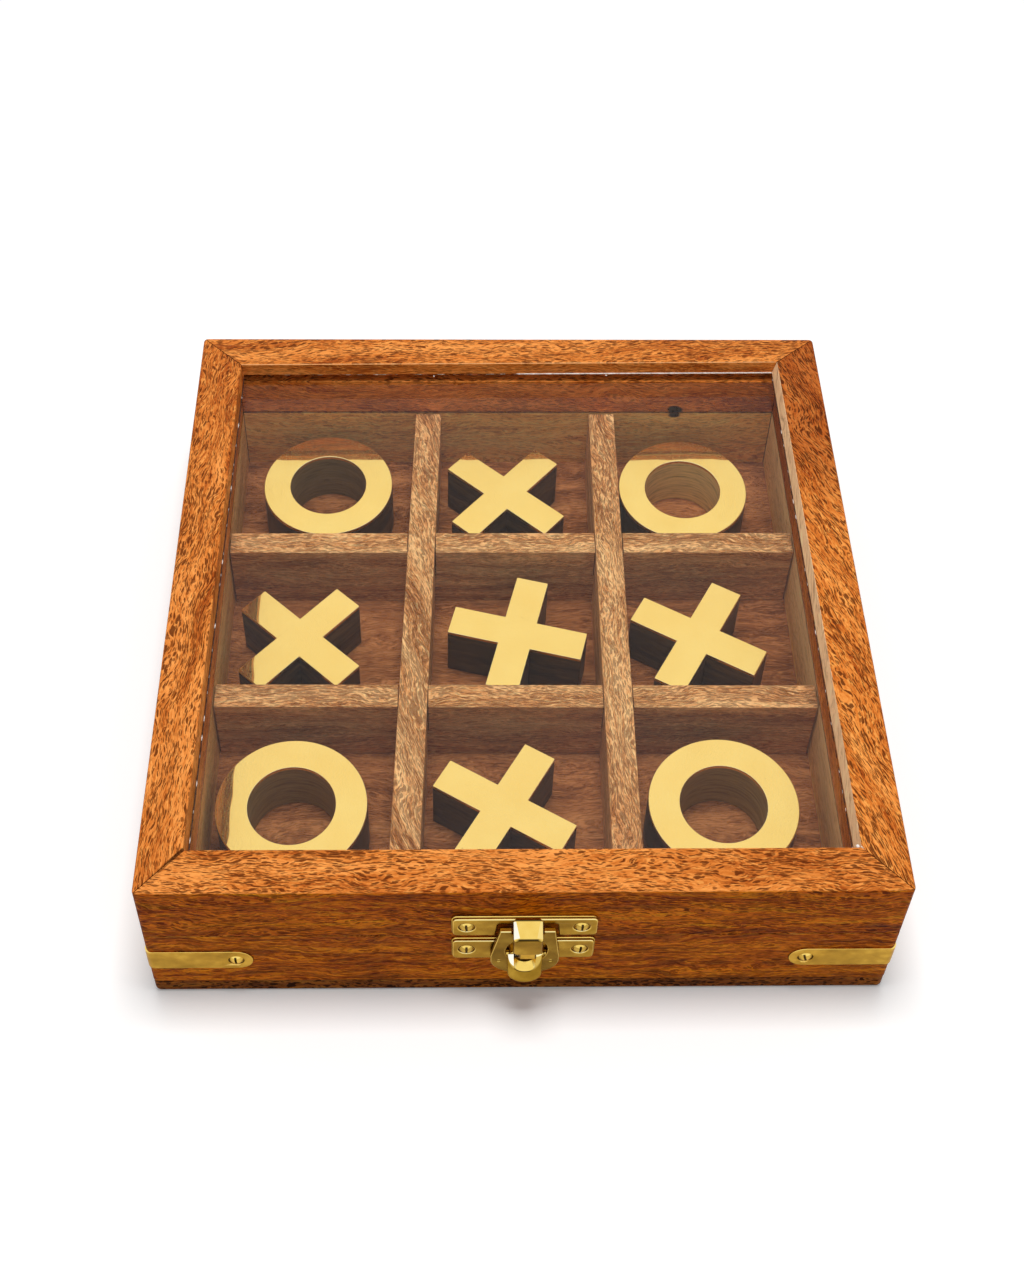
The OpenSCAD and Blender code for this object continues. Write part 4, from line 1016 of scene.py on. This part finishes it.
def make_bill():
    """A bent tab with bevelled sides, hollow behind and below, with a tooth under it."""
    rows, wear = [], []

    def bill_row(o, top, wt, ws, low, edge, dark=0.0):
        side = top - 0.16 - 0.12 * max(min(o, 5.2) - 1.2, 0)
        loop, worn = section([(-ws, low), (ws, low), (ws, side), (wt, top), (wt - 0.3, top), (0.3 - wt, top),
            (-wt, top), (-ws, side)], [0.5, 0.5, 0.2, 0.15, 0, 0, 0.15, 0.2], [edge] * 8)
        for i, (x, v) in enumerate(loop):
            # Painted highlights on the bevels, the left one brightest
            if 1.6 <= o < 5.3 and v > side - 0.12 and abs(x) > wt - 0.1:
                worn[i] = 1.12 if x < 0 else 0.74
            if dark and v > top - 0.45 and abs(x) < wt + 0.05:
                worn[i] = dark
        rows.append([latch((x, v, o)) for x, v in loop])
        wear.append(worn)

    # Where the bill rises from the plate its top is darkened: painted shade in the gap round it
    for o, top, dark in ((0.62, 9.35, -0.8), (0.72, 9.7, -0.7), (0.9, 9.88, -0.6), (1.22, 9.9, -0.8),
            (1.3, 9.88, -0.95), (1.5, 9.8, -0.9), (1.56, 9.78, 0.0)):
        bill_row(o, top, 2.9 - 0.3 * (1.56 - o), 3.4 - 0.6 * (1.56 - o), 2.4, 0.3, dark)
    for o in (1.6, 2.2, 2.8, 3.4, 4.0, 4.6, 5.0):
        bill_row(o, 9.78 - 0.27 * (o - 1.5), 2.9 - 0.225 * (o - 1.5), 3.4, 2.4 - 0.25 * max(o - 3.4, 0), 0.35)
    # Some rows of the front bend are darkened: a painted dark reflection
    for k in range(8):
        a = pi / 2 * k / 7
        s, c = sin(a), cos(a)
        bill_row(5.2 + 0.68 * s, 8.75 - 0.5 * (1 - c), 2.08 + 0.1 * s, 3.4 - 0.85 * (1 - c),
            2.0 - 0.3 * s + 0.35 * (1 - c), 0.25 * c, -1.0 if k in (2, 3, 4, 5) else 0.0)
    room = Shape().slab([fillet([(-1, 1.0), (3.1, 1.0), (3.1, 3.5), (5.0, 3.5), (5.0, 7.9), (-1, 7.9)],
        [0, 0, 0.1, 0.5, 0.6, 0], 3)], -2.3, 2.3).moved(from_side)
    piece("bill", cut(Shape().loft(rows, wear).mesh("bill"), [room]), PLATE, "lid", angle=40)
    # Its rounded edges are darkened: painted shade round the tooth
    tooth = Shape().slab([fillet(rect(4.2, -1.1, 5.6, 2.9), [0.66, 0.66, 0, 0], 5)], -1.95, 1.95, 0.4, 0.4, 4, -0.9)
    piece("bill_tooth", tooth.moved(from_side), SATIN, "lid")


def make_keeper():
    """The plate on the base, with two ears for the pin."""
    ears = Shape()
    arch = [(-0.8, 1.0), (-0.8, PIN_O)] + [(-0.8 * cos(pi * k / 12), PIN_O + 0.8 * sin(pi * k / 12))
        for k in range(1, 12)] + [(0.8, PIN_O), (0.8, 1.0)]
    for x in (-4.0, 3.1):
        ear = Shape().slab([arch], 0, 0.9, 0.08, 0.08, 2)
        ears.join(ear.moved(lambda p: (x + p.z, PIN_V + p.x, p.y)))
    piece("keeper", latch_plate(PIN_V, KEEPER_H, False).join(ears).moved(latch), PLATE, "base", ["lever_plate"])
    latch_screws("keeper_screw", PIN_V, (90, 78), "base", "lever_plate_screws")


def skew(p):
    """The lever hangs a little to the left."""
    t = min(max((5.0 - p.y) / 9.0, 0.0), 1.0)
    return (p.x - 0.42 * t * t * (3 - 2 * t), p.y, p.z)


def make_lever():
    """Two legs joined by a bar, an oval hole and a round foot."""
    front, back = 2.9, 1.8
    leg_top, bar_low, bar_top, foot = 7.2, 3.8, 5.6, -13.35
    shoulder, oval_low = -6.75, -7.85
    arc = [(8.1 * cos(-pi * k / 30), shoulder + (shoulder - foot) * sin(-pi * k / 30)) for k in range(31)]
    outer = [(-6.4, leg_top), (-8.1, PIN_V)] + arc[::-1] + [
        (8.1, PIN_V), (6.4, leg_top), (3.7, leg_top), (3.7, bar_top), (-3.7, bar_top), (-3.7, leg_top)]
    radii = [0.35] + [0] * 33 + [0.35, 0.2, 0.4, 0.4, 0.2]
    mid, tall = (bar_low + oval_low) / 2, (bar_low - oval_low) / 2
    hole = [(0.25 + 4.9 * cos(-2 * pi * k / 48), mid + tall * sin(-2 * pi * k / 48)) for k in range(48)]
    mark_x, mark_v = 6.125, -6.95
    marks = [circle(0.5, 16, x, mark_v)[::-1] for x in (-mark_x, mark_x)]
    lever = Shape().slab([fillet(outer, radii, 4), hole] + marks, back, front, 0.12, 0.30, 4)
    # The two punch marks are shallow, and their rims get no painted highlight
    lever.worn = [0.0 if hypot(abs(p.x) - mark_x, p.y - mark_v) < 0.9 else w for p, w in zip(lever.points, lever.worn)]
    for x in (-mark_x, mark_x):
        lever.lathe([(0, back + 0.1), (0.55, back + 0.1), (0.55, front - 0.12), (0, front - 0.1)], 16,
            centre=(x, mark_v))
    lever.moved(skew)
    for x in (-5.55, 4.15):
        lug = Shape().lathe([(0.45, 0), (0.74, 0), (0.8, 0.06), (0.8, 1.34), (0.74, 1.4), (0.45, 1.4)], 32, True)
        lever.join(lug.moved(lambda p: (x + p.z, PIN_V + p.x, PIN_O + p.y)))
    piece("lever", lever.moved(latch), LEVER, "latch", ["latch_lever"])


def make_lip():
    """A block with a round underside and a leaning front, scooped so that it has two horns."""
    low, r = PIN_V - 7.4, 4.9
    half = [4.1, 4.07, 3.97, 3.9, 3.8, 3.6, 3.42, 3.25, 3.05, 2.85, 2.78, 2.65, 2.45, 2.2, 1.7, 1.15, 0.6]

    def curve(p0, p1, p2, n):
        return [p0 * (1 - k / n) ** 2 + p1 * 2 * (k / n) * (1 - k / n) + p2 * (k / n) * (k / n) for k in range(n + 1)]

    rows, wear = [], []
    for x in [-v for v in half] + [0.0] + half[::-1]:
        ax = abs(x)
        end = ax > 4.08
        floor = low + r - sqrt(r * r - x * x) + (0.12 if end else 0.0)
        side = 0.85 * (1 - sqrt(max(1 - (max(ax - 3.35, 0.0) / 0.75) ** 2, 0.0)))

        def face(v):
            o = 3.4 + 0.35 * (-4.0 - v)
            return Vector((o - min(side, o - 3.06), v))

        # The scoop runs from its inner ellipse, at the lever's front, to its outer one on the face
        inner = -3.6 - 3.75 * sqrt(max(1 - (x / 2.6) ** 2, 0.0)) - (0.3 if end else 0.0)
        outer = -3.66 - (4.56 * sqrt(max(1 - (ax / 3.95) ** 2.2, 0.0)) if ax < 3.95 else 0.4 * (ax - 3.95))
        # Painted highlight on the crescent of the scoop, brightest on the left
        painted_shine = 1.12 if -3.95 < x < -2.6 else 0.9 if ax > 1.9 else 0.0
        start, a, b = Vector((2.9, inner)), face(min(outer, inner - 0.04)), face(floor + 0.75)
        path = [(2.0, floor, 0), (2.0, max(floor + 0.05, -8.7), 0)]
        path += [(*start.lerp(a, k), painted_shine) for k in (0.0, 0.25, 0.5, 0.7)]
        # Two rows across the scoop's bend get a thin dark line of painted shade
        for k, q in enumerate(curve(start.lerp(a, 0.85), a, a + unit(b - a) * 0.35, 6)):
            path.append((*q, -0.95 if k in (4, 5) and -2.6 < x < 1.5 else painted_shine * (1 - k / 6)))
        path.append((*a.lerp(b, 0.5), 0))
        path += [(*q, 0) for q in curve(b, Vector((b.x + 0.05, floor)), Vector((b.x - 0.8, floor)), 5)]
        rows.append([latch(skew(Vector((x, v, o)))) for o, v, w in path])
        wear.append([w for o, v, w in path])
    piece("lip", Shape().loft(rows, wear), PLATE, "latch", angle=50)


def make_pin():
    """The lever's pin, and the coil round it with its two legs."""
    pin = Shape().lathe([(0, -5.55), (0.34, -5.55), (0.4, -5.49), (0.4, 5.49), (0.34, 5.55), (0, 5.55)], 24)
    piece("lever_pin", pin.moved(lambda p: at_pin(Vector((p.z, p.x, p.y)))), STEEL, "base", ["latch_pin"])
    steps, wire, coil = 13 * 16, 0.15, 0.62
    helix = [(-2.7 + 5.4 * k / steps, coil * cos(2 * pi * k / 16), coil * sin(2 * pi * k / 16))
        for k in range(steps + 1)]
    spring = Shape().tube(helix, wire)
    spring.join(Shape().tube([(0.6, 0.2, -0.62), (0.6, 3.0, -0.63), (0.6, 7.8, -0.65)], wire))
    spring.join(Shape().tube([(-0.6, -0.2, -0.62), (-0.6, -2.0, -0.63), (-0.6, -3.8, -0.65)], wire))
    piece("lever_spring", spring.moved(at_pin), STEEL, "base", ["latch_spring"])


def make_latch():
    mid = CATCH_V + CATCH_H / 2
    piece("catch", latch_plate(mid, CATCH_H, True).moved(latch), PLATE, "lid", ["catch_plate"])
    latch_screws("catch_screw", mid, (97, 84), "lid", "catch_screws")
    make_bill()
    make_keeper()
    make_lever()
    make_lip()
    make_pin()


make_lid()
make_putty()
make_base()
make_pieces()
make_latch()
make_straps()
# The hinges are shown as the CAD has them
for name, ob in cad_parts.items():
    if name.startswith("hinge"):
        for s in ob.material_slots:
            s.material = HINGE


# ---- camera, light and floor

def make_camera():
    """The camera that was fitted to the photo, whose frame is 1024 by 1280 pixels."""
    focal, centre_x, centre_y = 1842.660, 490.0, 400.235
    pitch, yaw, roll = 0.8136, 0.0298, 0.0224
    fwd = Vector((sin(yaw) * cos(pitch), cos(yaw) * cos(pitch), -sin(pitch)))
    right = Vector((cos(yaw), -sin(yaw), 0))
    up = right.cross(fwd)
    r = right * cos(roll) + up * sin(roll)
    u = up * cos(roll) - right * sin(roll)
    data = bpy.data.cameras.new("camera")
    cam = bpy.context.scene.camera = shown("camera", data)
    m = Matrix((r, u, -fwd)).transposed().to_4x4()
    m.translation = Vector((-16.672, -294.198, 427.040)) * 0.001
    cam.matrix_world = m
    data.sensor_fit, data.sensor_width = "HORIZONTAL", 36.0
    data.lens = focal / 1024 * 36.0
    data.shift_x, data.shift_y = (512 - centre_x) / 1024, (centre_y - 640) / 1024
    data.clip_start, data.clip_end = 0.01, 20.0


def make_lamp():
    data = bpy.data.lights.new("key", "AREA")
    data.shape, data.size, data.size_y, data.energy = "RECTANGLE", 0.38, 0.34, 8.9
    ob = shown("key", data)
    ob.location = (0.0, 0.01, 1.15)
    # The brass mirrors only the white around it
    ob.visible_glossy = False
    ob.rotation_euler = (Vector((0, 0, 0.02)) - ob.location).to_track_quat("-Z", "Y").to_euler()


def seen_rays(t):
    """1 for rays that should see the bare background: the camera's, mirrored and through glass."""
    path = t.new("LightPath").outputs
    return t.most(t.most(path["Is Camera Ray"], path["Is Glossy Ray"]), path["Is Transmission Ray"])


def make_world():
    world = bpy.context.scene.world = bpy.data.worlds.new("world")
    t = Nodes(world, "OutputWorld")
    t.put(t.out, t.op("MixShader", seen_rays(t), t.op("Background", WHITE, 0.41), t.op("Background", WHITE, 1.0)))


def make_floor():
    s = 6.0
    me = bpy.data.meshes.new("floor")
    me.from_pydata([(x, y, 0) for x, y in rect(-s, -s, s, s)], [], [(0, 1, 2, 3)])
    ob = shown("floor", me)
    t = material("floor")
    seen = seen_rays(t)
    matte = t.op("BsdfDiffuse", t.step(seen, 0.0, 1.0, 0.42, 1.0, "LINEAR"))
    # Far from the lamp it glows more, so that it stays white
    away = t.length(t.new("NewGeometry").outputs["Position"])
    glow = t.op("Emission", WHITE, t.mul(seen, t.step(away, 0.6, 2.2, 0.06, 0.56, "LINEAR")))
    t.put(t.out, t.op("AddShader", matte, glow))
    me.materials.append(t.owner)


make_camera()
make_lamp()
make_world()
make_floor()
bpy.context.scene.view_settings.view_transform = "Standard"
